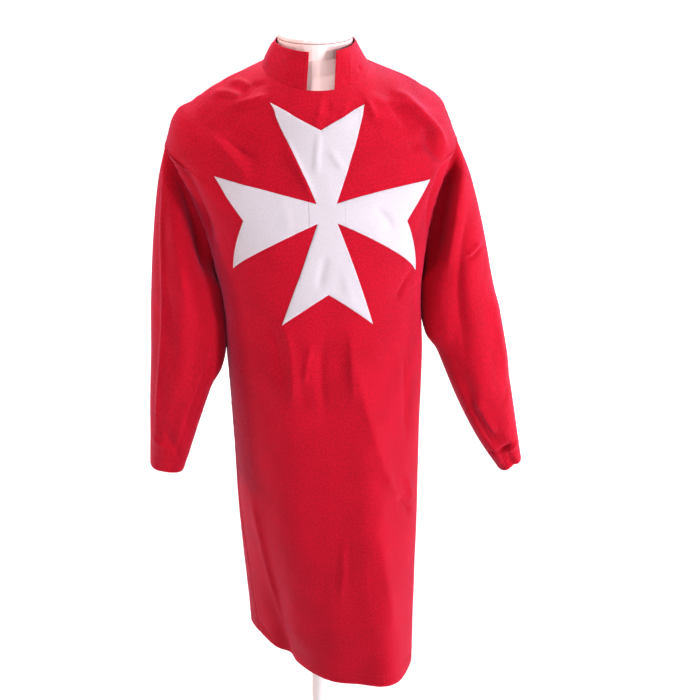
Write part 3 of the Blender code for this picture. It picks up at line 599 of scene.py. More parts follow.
def share_body_sides(front, back, first_armhole):
    """Even out the directions along the shoulder and side seams, not at the armholes."""
    last_armhole = first_armhole + ARMHOLE_ROWS * ROW_STEPS
    number = np.arange(len(front))
    seam = (number <= first_armhole) | (number >= last_armhole)
    for front_column, back_column in ((0, -1), (-1, 0)):
        mean = unit(front[seam, front_column] + back[seam, back_column])
        front[seam, front_column] = mean
        back[seam, back_column] = mean


def fold_heights(folds, stations, angles, radius, fade):
    """How far each point stands out, by its station and its angle in degrees."""
    total = np.zeros((len(stations), len(angles)))
    for fold in folds:
        part = np.clip((stations - fold.start) / (fold.end - fold.start), 0.0, 1.0)
        ends = smoothstep((stations - fold.start) / fade) * smoothstep((fold.end - stations) / fade)
        line = fold.angle_start + (fold.angle_end - fold.angle_start) * part
        height = (fold.height_start + (fold.height_end - fold.height_start) * part) * ends
        turn = (angles[None, :] - line[:, None] + 180.0) % 360.0 - 180.0
        distance = np.radians(turn) * radius
        total += height[:, None] * np.exp(-(distance / fold.width) ** 2)
    return total


def body_fold_heights(stations, angles, first_armhole):
    """The main folds of the front or back, dying out at the neckline and along the armholes."""
    heights = fold_heights(BODY_FOLDS, stations, np.degrees(angles), BODY_FOLD_RADIUS, FOLD_FADE)
    neck = smoothstep(stations / NECKLINE_FADE)
    columns = np.arange(len(angles)) / COLUMN_STEPS
    edge = smoothstep(np.minimum(columns, columns[::-1]) / ARMHOLE_FADE_COLUMNS)
    above = (np.arange(len(stations)) - first_armhole) / ROW_STEPS
    below = ARMHOLE_ROWS - above
    beside = smoothstep(above / ARMHOLE_FADE_ROWS + 1.0) * smoothstep(below / ARMHOLE_FADE_ROWS + 1.0)
    return heights * neck[:, None] * (1.0 - beside[:, None] * (1.0 - edge[None, :]))


def curve_points(line):
    """A smooth line of points through a few."""
    line = np.asarray(line, float)
    return through(line, np.arange(len(line)), np.linspace(0, len(line) - 1, CREASE_POINTS))


def crease_heights(lines, grid):
    """How far the creases move each point of a grid, seen from the front or the back."""
    x = grid[..., 0].ravel()
    z = grid[..., 2].ravel()
    total = np.zeros(x.shape)
    for crease in lines:
        points = curve_points(crease.line)
        best = np.full(x.shape, np.inf)
        part = np.zeros(x.shape)
        side = np.zeros(x.shape)
        for number, (a, b) in enumerate(zip(points, points[1:])):
            run = b - a
            along = np.clip(((x - a[0]) * run[0] + (z - a[1]) * run[1]) / (run @ run), 0.0, 1.0)
            dx = x - a[0] - along * run[0]
            dz = z - a[1] - along * run[1]
            gap = np.hypot(dx, dz)
            near = gap < best
            best[near] = gap[near]
            part[near] = (number + along[near]) / (len(points) - 1)
            side[near] = np.sign(dx * -run[1] + dz * run[0])[near]
        width = np.where(side > 0.0, crease.left, crease.right)
        if points[-1][1] < points[0][1]:
            width = np.where(side > 0.0, crease.right, crease.left)
        taper = smoothstep(part / CREASE_TAPER) * smoothstep((1.0 - part) / CREASE_TAPER)
        total += CREASE_STRENGTH * crease.height * taper * np.exp(-(best / width) ** CREASE_SHARPNESS)
    return total.reshape(grid.shape[:2])


def uneven_heights(grid, seed, kind):
    """Many faint soft creases at random places, mostly upright, so that no stretch is dead smooth."""
    draw = np.random.default_rng(seed)
    x_low, x_high = grid[..., 0].min(), grid[..., 0].max()
    z_low, z_high = grid[..., 2].min(), grid[..., 2].max()
    total = np.zeros(grid.shape[:2])
    for _ in range(kind.count):
        centre_x = draw.uniform(x_low, x_high)
        centre_z = draw.uniform(z_low, z_high)
        turn = draw.normal(0.0, kind.lean)
        length = draw.uniform(kind.low, kind.high)
        width = draw.uniform(UNEVEN_WIDTH_LOW, UNEVEN_WIDTH_HIGH) * length
        size = draw.uniform(-kind.height, kind.height)
        dx = grid[..., 0] - centre_x
        dz = grid[..., 2] - centre_z
        along = dx * math.sin(turn) + dz * math.cos(turn)
        across = dx * math.cos(turn) - dz * math.sin(turn)
        total += size * np.exp(-(along / length) ** 2 - (across / width) ** 2)
    return total


def edge_distances(grid):
    """Each point's distance along its row from the row's left end, and from its right one."""
    steps = np.linalg.norm(np.diff(grid, axis=1), axis=2)
    start = np.zeros((len(grid), 1))
    from_left = np.concatenate([start, np.cumsum(steps, axis=1)], axis=1)
    return from_left, from_left[:, -1:] - from_left


def fade_to_ends(grid, reach):
    """0 at both ends of each row, rising to 1 over the reach."""
    return smoothstep(np.minimum(*edge_distances(grid)) / reach)


def wave(lengths, seed):
    """An uneven ripple between about -1 and 1 along a seam."""
    draw = np.random.default_rng(seed)
    total = np.zeros(np.shape(lengths))
    for period in RIPPLE_PERIODS:
        total += np.sin(2.0 * math.pi * (lengths / period + draw.uniform())) / len(RIPPLE_PERIODS)
    return total


def seam_relief(distance, along, seed, bulge):
    """A dip at a seam, a raised band beside it and small puckers across it."""
    ripple = wave(along, seed)
    dip = -SEAM_DIP * np.exp(-(distance / SEAM_DIP_WIDTH) ** 2)
    band = bulge * (1.0 + 0.5 * ripple) * np.exp(-((distance - SEAM_BAND_AT) / SEAM_BAND_WIDTH) ** 2)
    pucker = SEAM_PUCKER * ripple * np.exp(-distance / SEAM_PUCKER_REACH)
    return dip + band + pucker


def body_seams(grid, seed, first_armhole):
    """The relief beside the armhole, shoulder and side seams."""
    total = np.zeros(grid.shape[:2])
    row = np.arange(len(grid))
    last_armhole = first_armhole + ARMHOLE_ROWS * ROW_STEPS
    armhole = ((row >= first_armhole) & (row <= last_armhole)).astype(float)
    bulge = SEAM_BAND * (SEAM_FLAT_SHARE + (1.0 - SEAM_FLAT_SHARE) * armhole)[:, None]
    for number, (distance, column) in enumerate(zip(edge_distances(grid), (0, -1))):
        along = lengths_along(grid[:, column])[:, None]
        total += seam_relief(distance, along, seed + number, bulge)
    return total


def sleeve_grid(side, sections, folds):
    """A sleeve as rows of closed rings from the armhole to the cuff, and each row's share."""
    loop = armhole_loop(side)
    top = loop[0]
    bottom = loop[ARMHOLE_ROWS * ROW_STEPS]
    start = SleeveSection(top[0], top[2], bottom[0], bottom[2], ARMHOLE_BACK_DEPTH, 0.0, 1.0)
    table = [start] + sections
    at = np.linspace(0.0, 1.0, SLEEVE_ROWS + 1)
    turns = np.linspace(0.0, 2.0 * math.pi, 2 * ARMHOLE_ROWS * ROW_STEPS + 1)[:-1]
    grid = []
    for row in through(table, np.linspace(0.0, 1.0, len(table)), at):
        section = SleeveSection(*row)
        outer = np.array([section.outer_x, 0.0, section.outer_z])
        inner = np.array([section.inner_x, 0.0, section.inner_z])
        middle = (outer + inner) / 2.0 + np.array([0.0, -section.forward, 0.0])
        half = (outer - inner) / 2.0
        forward = np.array([0.0, -section.depth, 0.0])
        out = np.sign(np.cos(turns)) * np.abs(np.cos(turns)) ** section.power
        ahead = np.sign(np.sin(turns)) * np.abs(np.sin(turns)) ** section.power
        grid.append(middle + np.outer(out, half) + np.outer(ahead, forward))
    grid = np.array(grid)
    settle = 1.0 - smoothstep(at / ARMHOLE_SETTLE)
    grid += (loop - grid[0])[None, :, :] * settle[:, None, None]
    facing = normals(grid, closed=True) * -side
    heights = fold_heights(folds, at, np.degrees(turns), SLEEVE_FOLD_RADIUS, SLEEVE_FOLD_FADE)
    heights *= smoothstep(at / SLEEVE_FOLD_FADE)[:, None]
    return grid + facing * heights[:, :, None], at


def lengths_along(line):
    """The length from a line's first point to each of its points."""
    return np.concatenate([[0.0], np.cumsum(np.linalg.norm(np.diff(line, axis=0), axis=1))])


def lengths_down(grid):
    """The length down each column from its first point to each of its points."""
    return np.array([lengths_along(grid[:, column]) for column in range(grid.shape[1])]).T


def cloth_lengths(grid, closed):
    """Lengths across and down the cloth at each grid point, for the weave."""
    if closed:
        grid = np.concatenate([grid, grid[:, :1]], axis=1)
    across = np.array([lengths_along(row) for row in grid])
    if not closed:
        across -= across[:, across.shape[1] // 2][:, None]
    return np.stack([across, -lengths_down(grid)], axis=-1)


def add_object(name, points, faces, corners=None):
    """A smooth object; corners holds the place on the flat cloth of each corner of each face."""
    mesh = bpy.data.meshes.new(name)
    mesh.from_pydata(points.tolist(), [], faces)
    if corners is not None:
        layer = mesh.uv_layers.new(name="cloth")
        layer.data.foreach_set("uv", corners.astype(np.float32).ravel())
    mesh.update()
    mesh.shade_smooth()
    item = bpy.data.objects.new(name, mesh)
    bpy.context.scene.collection.objects.link(item)
    return item


def rim_direction(grid, row, column, closed):
    """Which way is off the cloth at a point on its border."""
    rows, columns = grid.shape[:2]
    way = np.zeros(3)
    if row == 0:
        way += unit(grid[0, column] - grid[1, column])
    if row == rows - 1:
        way += unit(grid[-1, column] - grid[-2, column])
    if not closed and column == 0:
        way += unit(grid[row, 0] - grid[row, 1])
    if not closed and column == columns - 1:
        way += unit(grid[row, -1] - grid[row, -2])
    return unit(way)


def borders(rows, columns, closed):
    """Each border of a grid as a loop of (row, column)."""
    if closed:
        return [[(0, column) for column in range(columns + 1)],
                [(rows - 1, column) for column in range(columns, -1, -1)]]
    top = [(0, column) for column in range(columns)]
    right = [(row, columns - 1) for row in range(1, rows)]
    bottom = [(rows - 1, column) for column in range(columns - 2, -1, -1)]
    left = [(row, 0) for row in range(rows - 2, -1, -1)]
    return [top + right + bottom + left]


def shell(name, outer, facing, thickness, closed=False, mirrored=False):
    """A cloth wall with round borders, its outer face on a grid and its inner one a thickness in."""
    rows, columns = outer.shape[:2]
    thickness = np.broadcast_to(np.asarray(thickness, float), (rows, columns))[..., None]
    inner = outer - facing * thickness
    lengths = cloth_lengths(outer, closed)
    points = [outer.reshape(-1, 3), inner.reshape(-1, 3)]
    wrapped = rows * columns
    faces = []
    places = []
    steps = columns if closed else columns - 1
    for row in range(rows - 1):
        for column in range(steps):
            after = (column + 1) % columns
            a = row * columns + column
            b = row * columns + after
            c = (row + 1) * columns + after
            d = (row + 1) * columns + column
            spots = ((row, column), (row + 1, column), (row + 1, column + 1), (row, column + 1))
            faces.append((a, d, c, b))
            places.append(spots)
            faces.append((wrapped + a, wrapped + b, wrapped + c, wrapped + d))
            places.append((spots[0], spots[3], spots[2], spots[1]))
    count = 2 * wrapped
    for loop in borders(rows, columns, closed):
        spots = loop[:-1]
        arcs = []
        for row, column in spots:
            at = column % columns
            way = rim_direction(outer, row, at, closed)
            half = thickness[row, at] / 2.0
            middle = (outer[row, at] + inner[row, at]) / 2.0
            for turn in ROLLED_EDGE_TURNS:
                angle = math.radians(turn)
                arcs.append(middle + facing[row, at] * half * math.cos(angle)
                            + way * half * math.sin(angle))
        points.append(np.array(arcs))
        total = len(spots)
        for number, (row, column) in enumerate(spots):
            next_row, next_column = spots[(number + 1) % total]
            here = row * columns + column % columns
            there = next_row * columns + next_column % columns
            chain = [here] + [count + 3 * number + step for step in range(3)] + [wrapped + here]
            after = (number + 1) % total
            chain_after = [there] + [count + 3 * after + step for step in range(3)] + [wrapped + there]
            uv_here = (row, column)
            uv_there = (next_row, next_column)
            if closed and number == total - 1:
                uv_there = loop[-1]
            for step in range(4):
                faces.append((chain[step], chain_after[step], chain_after[step + 1], chain[step + 1]))
                places.append((uv_here, uv_there, uv_there, uv_here))
        count += 3 * total
    if mirrored:
        faces = [face[::-1] for face in faces]
        places = [spots[::-1] for spots in places]
    flat = np.array(places).reshape(-1, 2)
    return add_object(name, np.concatenate(points), faces, lengths[flat[:, 0], flat[:, 1]])


def draw_back(grid, top, sides=0.0):
    """Move a grid's top edge and its two side edges in along the surface."""
    grid = grid.copy()
    grid[0] += unit(grid[1] - grid[0]) * top
    grid[:, 0] += unit(grid[:, 1] - grid[:, 0]) * sides
    grid[:, -1] += unit(grid[:, -2] - grid[:, -1]) * sides
    return grid


def form_tree():
    """The dress form's surface, for keeping the cloth outside it."""
    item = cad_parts["form_torso"]
    mesh = item.data
    corners = [item.matrix_world @ vertex.co for vertex in mesh.vertices]
    return BVHTree.FromPolygons(corners, [tuple(face.vertices) for face in mesh.polygons])


def keep_clear(grid, tree, distance):
    """Push out each point that lies nearer to the form than the distance."""
    flat = grid.reshape(-1, 3).copy()
    for number, point in enumerate(flat):
        near, normal, _, gap = tree.find_nearest(Vector(point), FORM_REACH)
        if near is None:
            continue
        height = (Vector(point) - near).dot(normal)
        signed = gap if height >= 0.0 else -gap
        if signed < distance:
            flat[number] = np.array(near) + np.array(normal) * distance
    return flat.reshape(grid.shape)


def body_surfaces(tree):
    """The outer points and outward directions of the front and the back."""
    stations, rows, first_armhole = body_rows()
    angles = {"front": front_angles(), "back": back_angles()}
    grids = {"front": body_grid(rows, first_armhole, angles["front"], -1),
             "back": body_grid(rows, first_armhole, angles["back"], 1)}
    facing = {name: normals(grid) for name, grid in grids.items()}
    share_body_sides(facing["front"], facing["back"], first_armhole)
    for name, lines, way in (("front", FRONT_CREASES, -1.0), ("back", BACK_CREASES, 1.0)):
        seed = SEEDS[name]
        heights = body_fold_heights(stations, angles[name], first_armhole)
        grids[name] = grids[name] + facing[name] * heights[:, :, None]
        towards = smoothstep(facing[name][..., 1] * way / FACING_FADE)
        fine = crease_heights(lines, grids[name]) * towards
        fine += uneven_heights(grids[name], seed, BODY_UNEVEN)
        fine += uneven_heights(grids[name], seed + CRUMPLED_SEED, BODY_CRUMPLED)
        fine *= fade_to_ends(grids[name], SEAM_FADE)
        fine += body_seams(grids[name], seed + SEAM_SEED, first_armhole)
        fine *= smoothstep(np.arange(len(fine)) / ROW_STEPS)[:, None]
        grids[name] = grids[name] + facing[name] * fine[:, :, None]
        turn = (np.degrees(angles[name]) - HEM_LIFT_ANGLE + 180.0) % 360.0 - 180.0
        lift = HEM_LIFT * np.exp(-(turn / HEM_LIFT_SPREAD) ** 2)
        lowness = smoothstep((HEM_LIFT_FROM - grids[name][..., 2]) / HEM_LIFT_REACH)
        grids[name][..., 2] += lift[None, :] * lowness
        grids[name] = keep_clear(grids[name], tree, CLOTH_THICKNESS + FORM_CLEARANCE)
    facing = {name: normals(grid) for name, grid in grids.items()}
    share_body_sides(facing["front"], facing["back"], first_armhole)
    return grids, facing, first_armhole


def make_sleeve(side, name, sections, folds, lines):
    """A sleeve's outer points and outward directions."""
    grid, at = sleeve_grid(side, sections, folds)
    facing = normals(grid, closed=True) * -side
    back = SLEEVE_BACK_CREASES
    if side > 0:
        back = [crease._replace(left=crease.right, right=crease.left,
                                line=crease.line * (-1.0, 1.0) + (RIGHT_SLEEVE_SHIFT, 0.0))
                for crease in back]
    front_part = smoothstep(-facing[..., 1] / FACING_FADE)
    back_part = smoothstep(facing[..., 1] / FACING_FADE)
    fine = crease_heights(lines, grid) * front_part + crease_heights(back, grid) * back_part
    seed = SEEDS[name]
    fine += uneven_heights(grid, seed, SLEEVE_UNEVEN) * front_part
    fine += uneven_heights(grid, seed + SLEEVE_BACK_SEED, SLEEVE_UNEVEN) * back_part
    fine *= smoothstep(at / SLEEVE_CREASE_FADE)[:, None]
    fine += seam_relief(lengths_down(grid), lengths_along(grid[0])[None, :], seed + SLEEVE_SEAM_SEED,
                        0.0)
    grid = grid + facing * fine[:, :, None]
    return grid, normals(grid, closed=True) * -side


def hem_thickness(grid, depth):
    """Thicker where the cloth is turned up, with a dent where it is sewn down."""
    down = lengths_down(grid)
    from_end = down[-1][None, :] - down
    turned_up = smoothstep((depth + TURN_STRETCH / 2.0 - from_end) / TURN_STRETCH)
    dent = TURN_DENT * np.exp(-((from_end - depth + TURN_DENT_ABOVE) / TURN_DENT_WIDTH) ** 2)
    return CLOTH_THICKNESS + TURNED_UP * turned_up, dent


def make_cloth(surfaces):
    """All pieces of red cloth; returns the front's outer points and directions, and the pieces."""
    tree = form_tree()
    grids, facing, first_armhole = body_surfaces(tree)
    sleeves = {-1: make_sleeve(-1, "sleeve_left", LEFT_SLEEVE, LEFT_SLEEVE_FOLDS,
                               LEFT_SLEEVE_CREASES),
               1: make_sleeve(1, "sleeve_right", RIGHT_SLEEVE, RIGHT_SLEEVE_FOLDS,
                              RIGHT_SLEEVE_CREASES)}
    for side, front_column, back_column in ((-1, 0, -1), (1, -1, 0)):
        around = sleeves[side][1]
        for turn in range(ARMHOLE_ROWS * ROW_STEPS + 1):
            row = first_armhole + turn
            body_front, seam_front = share(facing["front"][row, front_column], around[0][turn])
            body_back, seam_back = share(facing["back"][row, back_column], around[0][-turn])
            facing["front"][row, front_column] = body_front
            facing["back"][row, back_column] = body_back
            around[0][turn] = seam_front
            around[0][-turn] = seam_back
    pieces = {}
    stitched = []
    make_collar(grids, facing, pieces, stitched)
    middle = BACK_COLUMNS * COLUMN_STEPS
    panels = (("front", "front", slice(None)), ("back_right", "back", slice(0, middle + 1)),
              ("back_left", "back", slice(middle, None)))
    for name, body, columns in panels:
        outer = draw_back(grids[body][:, columns], COLLAR_GAP / 2.0, SEAM_GAP / 2.0)
        ways = facing[body][:, columns]
        thickness, dent = hem_thickness(outer, HEM_DEPTH)
        outer = outer - ways * dent[..., None]
        stitched.append(line_above_edge(outer, ways, HEM_DEPTH))
        pieces[name] = shell("tunic_" + name, outer, ways, thickness)
    for side, name in ((-1, "sleeve_left"), (1, "sleeve_right")):
        outer = draw_back(sleeves[side][0], ARMHOLE_GAP / 2.0)
        thickness, dent = hem_thickness(outer, CUFF_DEPTH)
        outer = outer - sleeves[side][1] * dent[..., None]
        path, ways = line_above_edge(outer, sleeves[side][1], CUFF_DEPTH)
        stitched.append((np.concatenate([path, path[:1]]), np.concatenate([ways, ways[:1]])))
        pieces[name] = shell("tunic_" + name, outer, sleeves[side][1], thickness, closed=True,
                             mirrored=side > 0)
    for name, piece in pieces.items():
        piece.data.materials.append(surfaces["red"])
        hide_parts(name)
        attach(piece, "root")
    make_stitches("stitching_red", stitched, surfaces["red_thread"])
    return grids["front"], facing["front"], pieces


def make_collar(grids, facing, pieces, stitched):
    """A standing collar in two halves, open at the front and meeting at the centre back."""
    opening = (FRONT_COLUMNS + 2 * NECK_COLUMNS) * COLUMN_STEPS
    left_end = FRONT_COLUMNS * COLUMN_STEPS
    middle = BACK_COLUMNS * COLUMN_STEPS
    turns = {"front": front_angles(), "back": back_angles()}
    halves = {
        "collar_right": (("front", slice(opening, None), 0.0), ("back", slice(1, middle + 1), 0.0)),
        "collar_left": (("back", slice(middle, -1), 2.0 * math.pi), ("front", slice(left_end + 1), 0.0)),
    }
    for name, parts in halves.items():
        angles = np.concatenate([turns[body][columns] - whole for body, columns, whole in parts])
        base = np.concatenate([grids[body][0, columns] for body, columns, _ in parts])
        base_facing = np.concatenate([facing[body][0, columns] for body, columns, _ in parts])
        nearness = (math.pi / 2.0 - np.abs(angles)) / math.radians(90.0 - COLLAR_OPENING_ANGLE)
        spread = math.radians(COLLAR_SPREAD[name]) * np.clip(nearness, 0.0, 1.0)
        top = ring(COLLAR_TOP, angles + np.sign(angles) * spread)
        shares = np.linspace(0.0, 1.0, COLLAR_ROWS + 1)
        drawn = shares + COLLAR_CURVE * shares * (shares - 1.0)
        outer = top + (base - top) * drawn[:, None, None]
        directions = normals(outer)
        fine = uneven_heights(outer, SEEDS[name], COLLAR_UNEVEN)
        fine += crease_heights(COLLAR_CREASES, outer) * (outer[..., 1] < 0.0)
        fine *= fade_to_ends(outer, COLLAR_EDGE_FADE)
        fine *= smoothstep(np.arange(len(fine))[::-1] / COLLAR_FADE_ROWS)[:, None]
        outer = outer + directions * fine[..., None]
        directions = normals(outer)
        directions[-1] = share(directions[-1], base_facing)[0]
        outer[-1] += unit(outer[-2] - outer[-1]) * COLLAR_GAP / 2.0
        outer = draw_back(outer, 0.0, SEAM_GAP / 2.0)
        pieces[name] = shell("tunic_" + name, outer, directions, CLOTH_THICKNESS)
        stitched.append(line_above_edge(outer[::-1], directions[::-1], COLLAR_STITCH_INSET))
        from_left, from_right = edge_distances(outer)
        at_front = from_left if name == "collar_right" else from_right
        orders = [np.argsort(along) for along in at_front]
        upright, ways = [np.array([read_points(COLLAR_STITCH_INSET, along[order], row[order])
                                   for along, order, row in list(zip(at_front, orders, rows))[1:]])
                         for rows in (outer, directions)]
        stitched.append((upright, unit(ways)))


def cross_outline(part):
    """One piece of the cross, flat: across to the right and up from its centre."""
    widening = (CROSS_TIP - CROSS_CROTCH) / (CROSS_REACH - CROSS_CROTCH)
    at_join = CROSS_CROTCH + widening * (CROSS_JOIN - CROSS_CROTCH)
    if part == "upright":
        edge = CROSS_JOIN - SEAM_GAP / 2.0
        quarter = [(edge, at_join), (CROSS_CROTCH, CROSS_CROTCH), (CROSS_TIP, CROSS_REACH)]
        upper = quarter + [(0.0, CROSS_NOTCH)] + [(-x, y) for x, y in reversed(quarter)]
        return upper + [(-x, -y) for x, y in upper]
    side = -1.0 if part == "left_arm" else 1.0
    edge = CROSS_JOIN + SEAM_GAP / 2.0
    upper = [(edge, at_join), (CROSS_REACH, CROSS_TIP)]
    lower = [(x, -y) for x, y in reversed(upper)]
    return [(side * x, y) for x, y in upper + [(CROSS_NOTCH, 0.0)] + lower]


def level_lines(grid, facing):
    """The front cut at level heights: points, directions and lengths along each line."""
    levels = np.arange(CROSS_HEIGHT - LEVELS_BELOW, CROSS_HEIGHT + LEVELS_ABOVE, LEVEL_STEP)
    columns = grid.shape[1]
    points = np.empty((len(levels), columns, 3))
    ways = np.empty((len(levels), columns, 3))
    for column in range(columns):
        height = -grid[:, column, 2]
        points[:, column] = read_points(-levels, height, grid[:, column])
        ways[:, column] = read_points(-levels, height, facing[:, column])
    walks = np.array([lengths_along(line) for line in points])
    homes = np.array([np.interp(CROSS_SIDE, line[:, 0], walk) for line, walk in zip(points, walks)])
    return levels, points, unit(ways), walks, homes


def cross_place(grid, lines, flat):
    """Where points of the flat cross lie on the front, and the directions out of it there."""
    levels, points, ways, walks, homes = lines
    across, up = flat[:, 0], flat[:, 1]
    drop = np.where(across < 0.0, CROSS_DROP_LEFT, CROSS_DROP_RIGHT)
    outward = np.abs(across) / CROSS_REACH
    gather = CROSS_GATHER * outward ** 2 * np.clip(-up / CROSS_TIP, 0.0, 1.0)
    sideways = across * (1.0 - gather) - up * math.sin(math.radians(CROSS_LEAN))
    sideways -= CROSS_BOW * (up / CROSS_REACH) ** 2
    level = up * np.where(up < 0.0, CROSS_LOWER_LENGTH, 1.0) - drop * outward ** CROSS_DROP_POWER
    centre_line = grid[:, grid.shape[1] // 2]
    lengths = lengths_along(centre_line)
    start = np.interp(-CROSS_HEIGHT, -centre_line[:, 2], lengths)
    height = np.interp(start - level, lengths, centre_line[:, 2])
    row = np.clip((height - levels[0]) / LEVEL_STEP, 0, len(levels) - 1 - LEVEL_MARGIN)
    low = row.astype(int)
    part = (row - low)[:, None]
    place = np.empty((len(flat), 3))
    way = np.empty((len(flat), 3))
    for number in np.unique(low):
        chosen = low == number
        for table, result in ((points, place), (ways, way)):
            ends = [read_points(homes[line] + sideways[chosen], walks[line], table[line])
                    for line in (number, number + 1)]
            result[chosen] = ends[0] * (1.0 - part[chosen]) + ends[1] * part[chosen]
    return place, unit(way)


def is_join(a, b):
    """Whether an edge of the cross is sewn to its neighbour."""
    return abs(a[0] - b[0]) < TOUCHING and abs(abs(a[0]) - CROSS_JOIN) < SEAM_GAP


def outline_distance(flat, outline):
    """How far inside the outline's free edges each flat point lies."""
    best = np.full(len(flat), np.inf)
    corners = np.array(outline)
    for a, b in zip(corners, np.roll(corners, -1, axis=0)):
        if is_join(a, b):
            continue
        run = b - a
        along = np.clip((flat - a) @ run / (run @ run), 0.0, 1.0)
        best = np.minimum(best, np.linalg.norm(flat - a - along[:, None] * run, axis=1))
    return best


def flat_piece(outline):
    """A flat mesh inside the outline, cut by a fine square net."""
    work = bmesh.new()
    face = work.faces.new([work.verts.new((x, y, 0.0)) for x, y in outline])
    face.normal_update()
    if face.normal.z < 0.0:
        face.normal_flip()
    corners = np.array(outline)
    for axis in range(2):
        for at in np.arange(corners[:, axis].min() + CROSS_MESH_STEP / 2.0, corners[:, axis].max(),
                            CROSS_MESH_STEP):
            point = [0.0, 0.0, 0.0]
            point[axis] = at
            way = [0.0, 0.0, 0.0]
            way[axis] = 1.0
            geometry = work.verts[:] + work.edges[:] + work.faces[:]
            bmesh.ops.bisect_plane(work, geom=geometry, plane_co=point, plane_no=way, dist=TOUCHING)
    bmesh.ops.triangulate(work, faces=[face for face in work.faces if len(face.verts) > 4])
    return work


def make_cross(grid, facing, surfaces):
    """The cross in three pieces that lie on the front, with rounded turned-in edges."""
    lines = level_lines(grid, facing)
    make_stitches("stitching_white", cross_stitch_lines(grid, lines), surfaces["white_thread"])
    pieces = {}
    for part in ("upright", "left_arm", "right_arm"):
        outline = cross_outline(part)
        work = flat_piece(outline)
        work.verts.ensure_lookup_table()
        flat = np.array([vertex.co[:2] for vertex in work.verts])
        place, way = cross_place(grid, lines, flat)
        inside = outline_distance(flat, outline)
        roll = np.sqrt(np.clip(1.0 - (1.0 - np.clip(inside / CROSS_ROLL, 0.0, 1.0)) ** 2, 0.0, 1.0))
        rolled = CROSS_ROLL_START + (1.0 - CROSS_ROLL_START) * roll
        raised = SEAM_GAP + APPLIQUE_THICKNESS * rolled
        raised -= CROSS_DENT * np.exp(-((inside - CROSS_DENT_AT) / CROSS_DENT_WIDTH) ** 2)
        outer = place + way * raised[:, None]
        inner = place + way * SEAM_GAP
        count = len(flat)
        faces = [[vertex.index for vertex in face.verts] for face in work.faces]
        places = [list(face) for face in faces]
        rim = [(loop.vert.index, loop.link_loop_next.vert.index) for face in work.faces
               for loop in face.loops if loop.edge.is_boundary]
        mesh_faces = faces + [[count + number for number in reversed(face)] for face in faces]
        places = places + [list(reversed(face)) for face in faces]
        for a, b in rim:
            mesh_faces.append([b, a, count + a, count + b])
            places.append([b, a, a, b])
        work.free()
        order = [number for spots in places for number in spots]
        piece = add_object("tunic_cross_" + part, np.concatenate([outer, inner]), mesh_faces, flat[order])
        piece.data.set_sharp_from_angle(angle=math.radians(CROSS_SHARP_ANGLE))
        piece.data.materials.append(surfaces["white"])
        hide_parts("cross_" + part)
        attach(piece, "root")
        pieces[part] = piece
    return pieces


def stitch_places(path, ways):
    """Where stitches sit along a line of points on the cloth: middles, directions and outward ways."""
    lengths = lengths_along(path)
    at = np.arange(STITCH_PITCH, lengths[-1] - STITCH_PITCH / 2.0, STITCH_PITCH)
    start = read_points(at - STITCH_LENGTH / 2.0, lengths, path)
    end = read_points(at + STITCH_LENGTH / 2.0, lengths, path)
    return (start + end) / 2.0, unit(end - start), unit(read_points(at, lengths, ways))


def make_stitches(name, lines, surface):
    """Short threads with rounded ends, half sunk in the cloth along each line."""
    sides = STITCH_SIDES
    turns = np.linspace(0.0, 2.0 * math.pi, sides + 1)[:-1]
    points = []
    faces = []
    count = 0
    for path, ways in lines:
        for middle, run, way in zip(*stitch_places(path, ways)):
            across = unit(np.cross(run, way))
            lifted = middle + way * STITCH_RADIUS * STITCH_LIFT
            for share_along, share_round in STITCH_PROFILE:
                centre = lifted + run * share_along * STITCH_LENGTH
                radius = STITCH_RADIUS * share_round
                points.append(centre + np.outer(np.cos(turns), across) * radius
                              + np.outer(np.sin(turns), way) * radius)
            for step in range(len(STITCH_PROFILE) - 1):
                for side in range(sides):
                    a = count + step * sides + side
                    b = count + step * sides + (side + 1) % sides
                    faces.append((a, b, b + sides, a + sides))
            last = count + (len(STITCH_PROFILE) - 1) * sides
            faces.append(tuple(range(count + sides - 1, count - 1, -1)))
            faces.append(tuple(range(last, last + sides)))
            count += len(STITCH_PROFILE) * sides
    item = add_object(name, np.concatenate(points), faces)
    item.data.materials.append(surface)
    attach(item, "root")


def line_above_edge(grid, facing, depth):
    """A line on the cloth at one distance from its last row."""
    down = lengths_down(grid).T
    path, ways = [np.array([read_points(along[-1] - depth, along, column)
                            for along, column in zip(down, rows.transpose(1, 0, 2))])
                  for rows in (grid, facing)]
    return path, unit(ways)


def cross_stitch_lines(grid, lines):
    """Stitch lines just inside the edges of the cross."""
    made = []
    for part in ("upright", "left_arm", "right_arm"):
        outline = np.array(cross_outline(part))
        middle_side = 1.0 if np.sum(outline[:, 0] * np.roll(outline[:, 1], -1)
                                    - np.roll(outline[:, 0], -1) * outline[:, 1]) > 0.0 else -1.0
        for a, b in zip(outline, np.roll(outline, -1, axis=0)):
            if is_join(a, b):
                continue
            run = (b - a) / np.linalg.norm(b - a)
            inward = np.array([-run[1], run[0]]) * middle_side
            steps = int(np.linalg.norm(b - a) / CROSS_STITCH_SPACING)
            flat = a + np.linspace(0.0, 1.0, steps + 1)[:, None] * (b - a) + inward * CROSS_STITCH_INSET
            inside = outline_distance(flat, outline)
            flat = flat[inside > CROSS_STITCH_INSET * CORNER_SHARE]
            if len(flat) < 3:
                continue
            place, way = cross_place(grid, lines, flat)
            made.append((place + way * (SEAM_GAP + APPLIQUE_THICKNESS), way))
    return made


def node_material(name, inputs):
    """A node material, its tree and its shader with some of its inputs set."""
    made = bpy.data.materials.new(name)
    made.use_nodes = True
    tree = made.node_tree
    shader = tree.nodes["Principled BSDF"]
    for socket, value in inputs.items():
        shader.inputs[socket].default_value = value
    return made, tree, shader


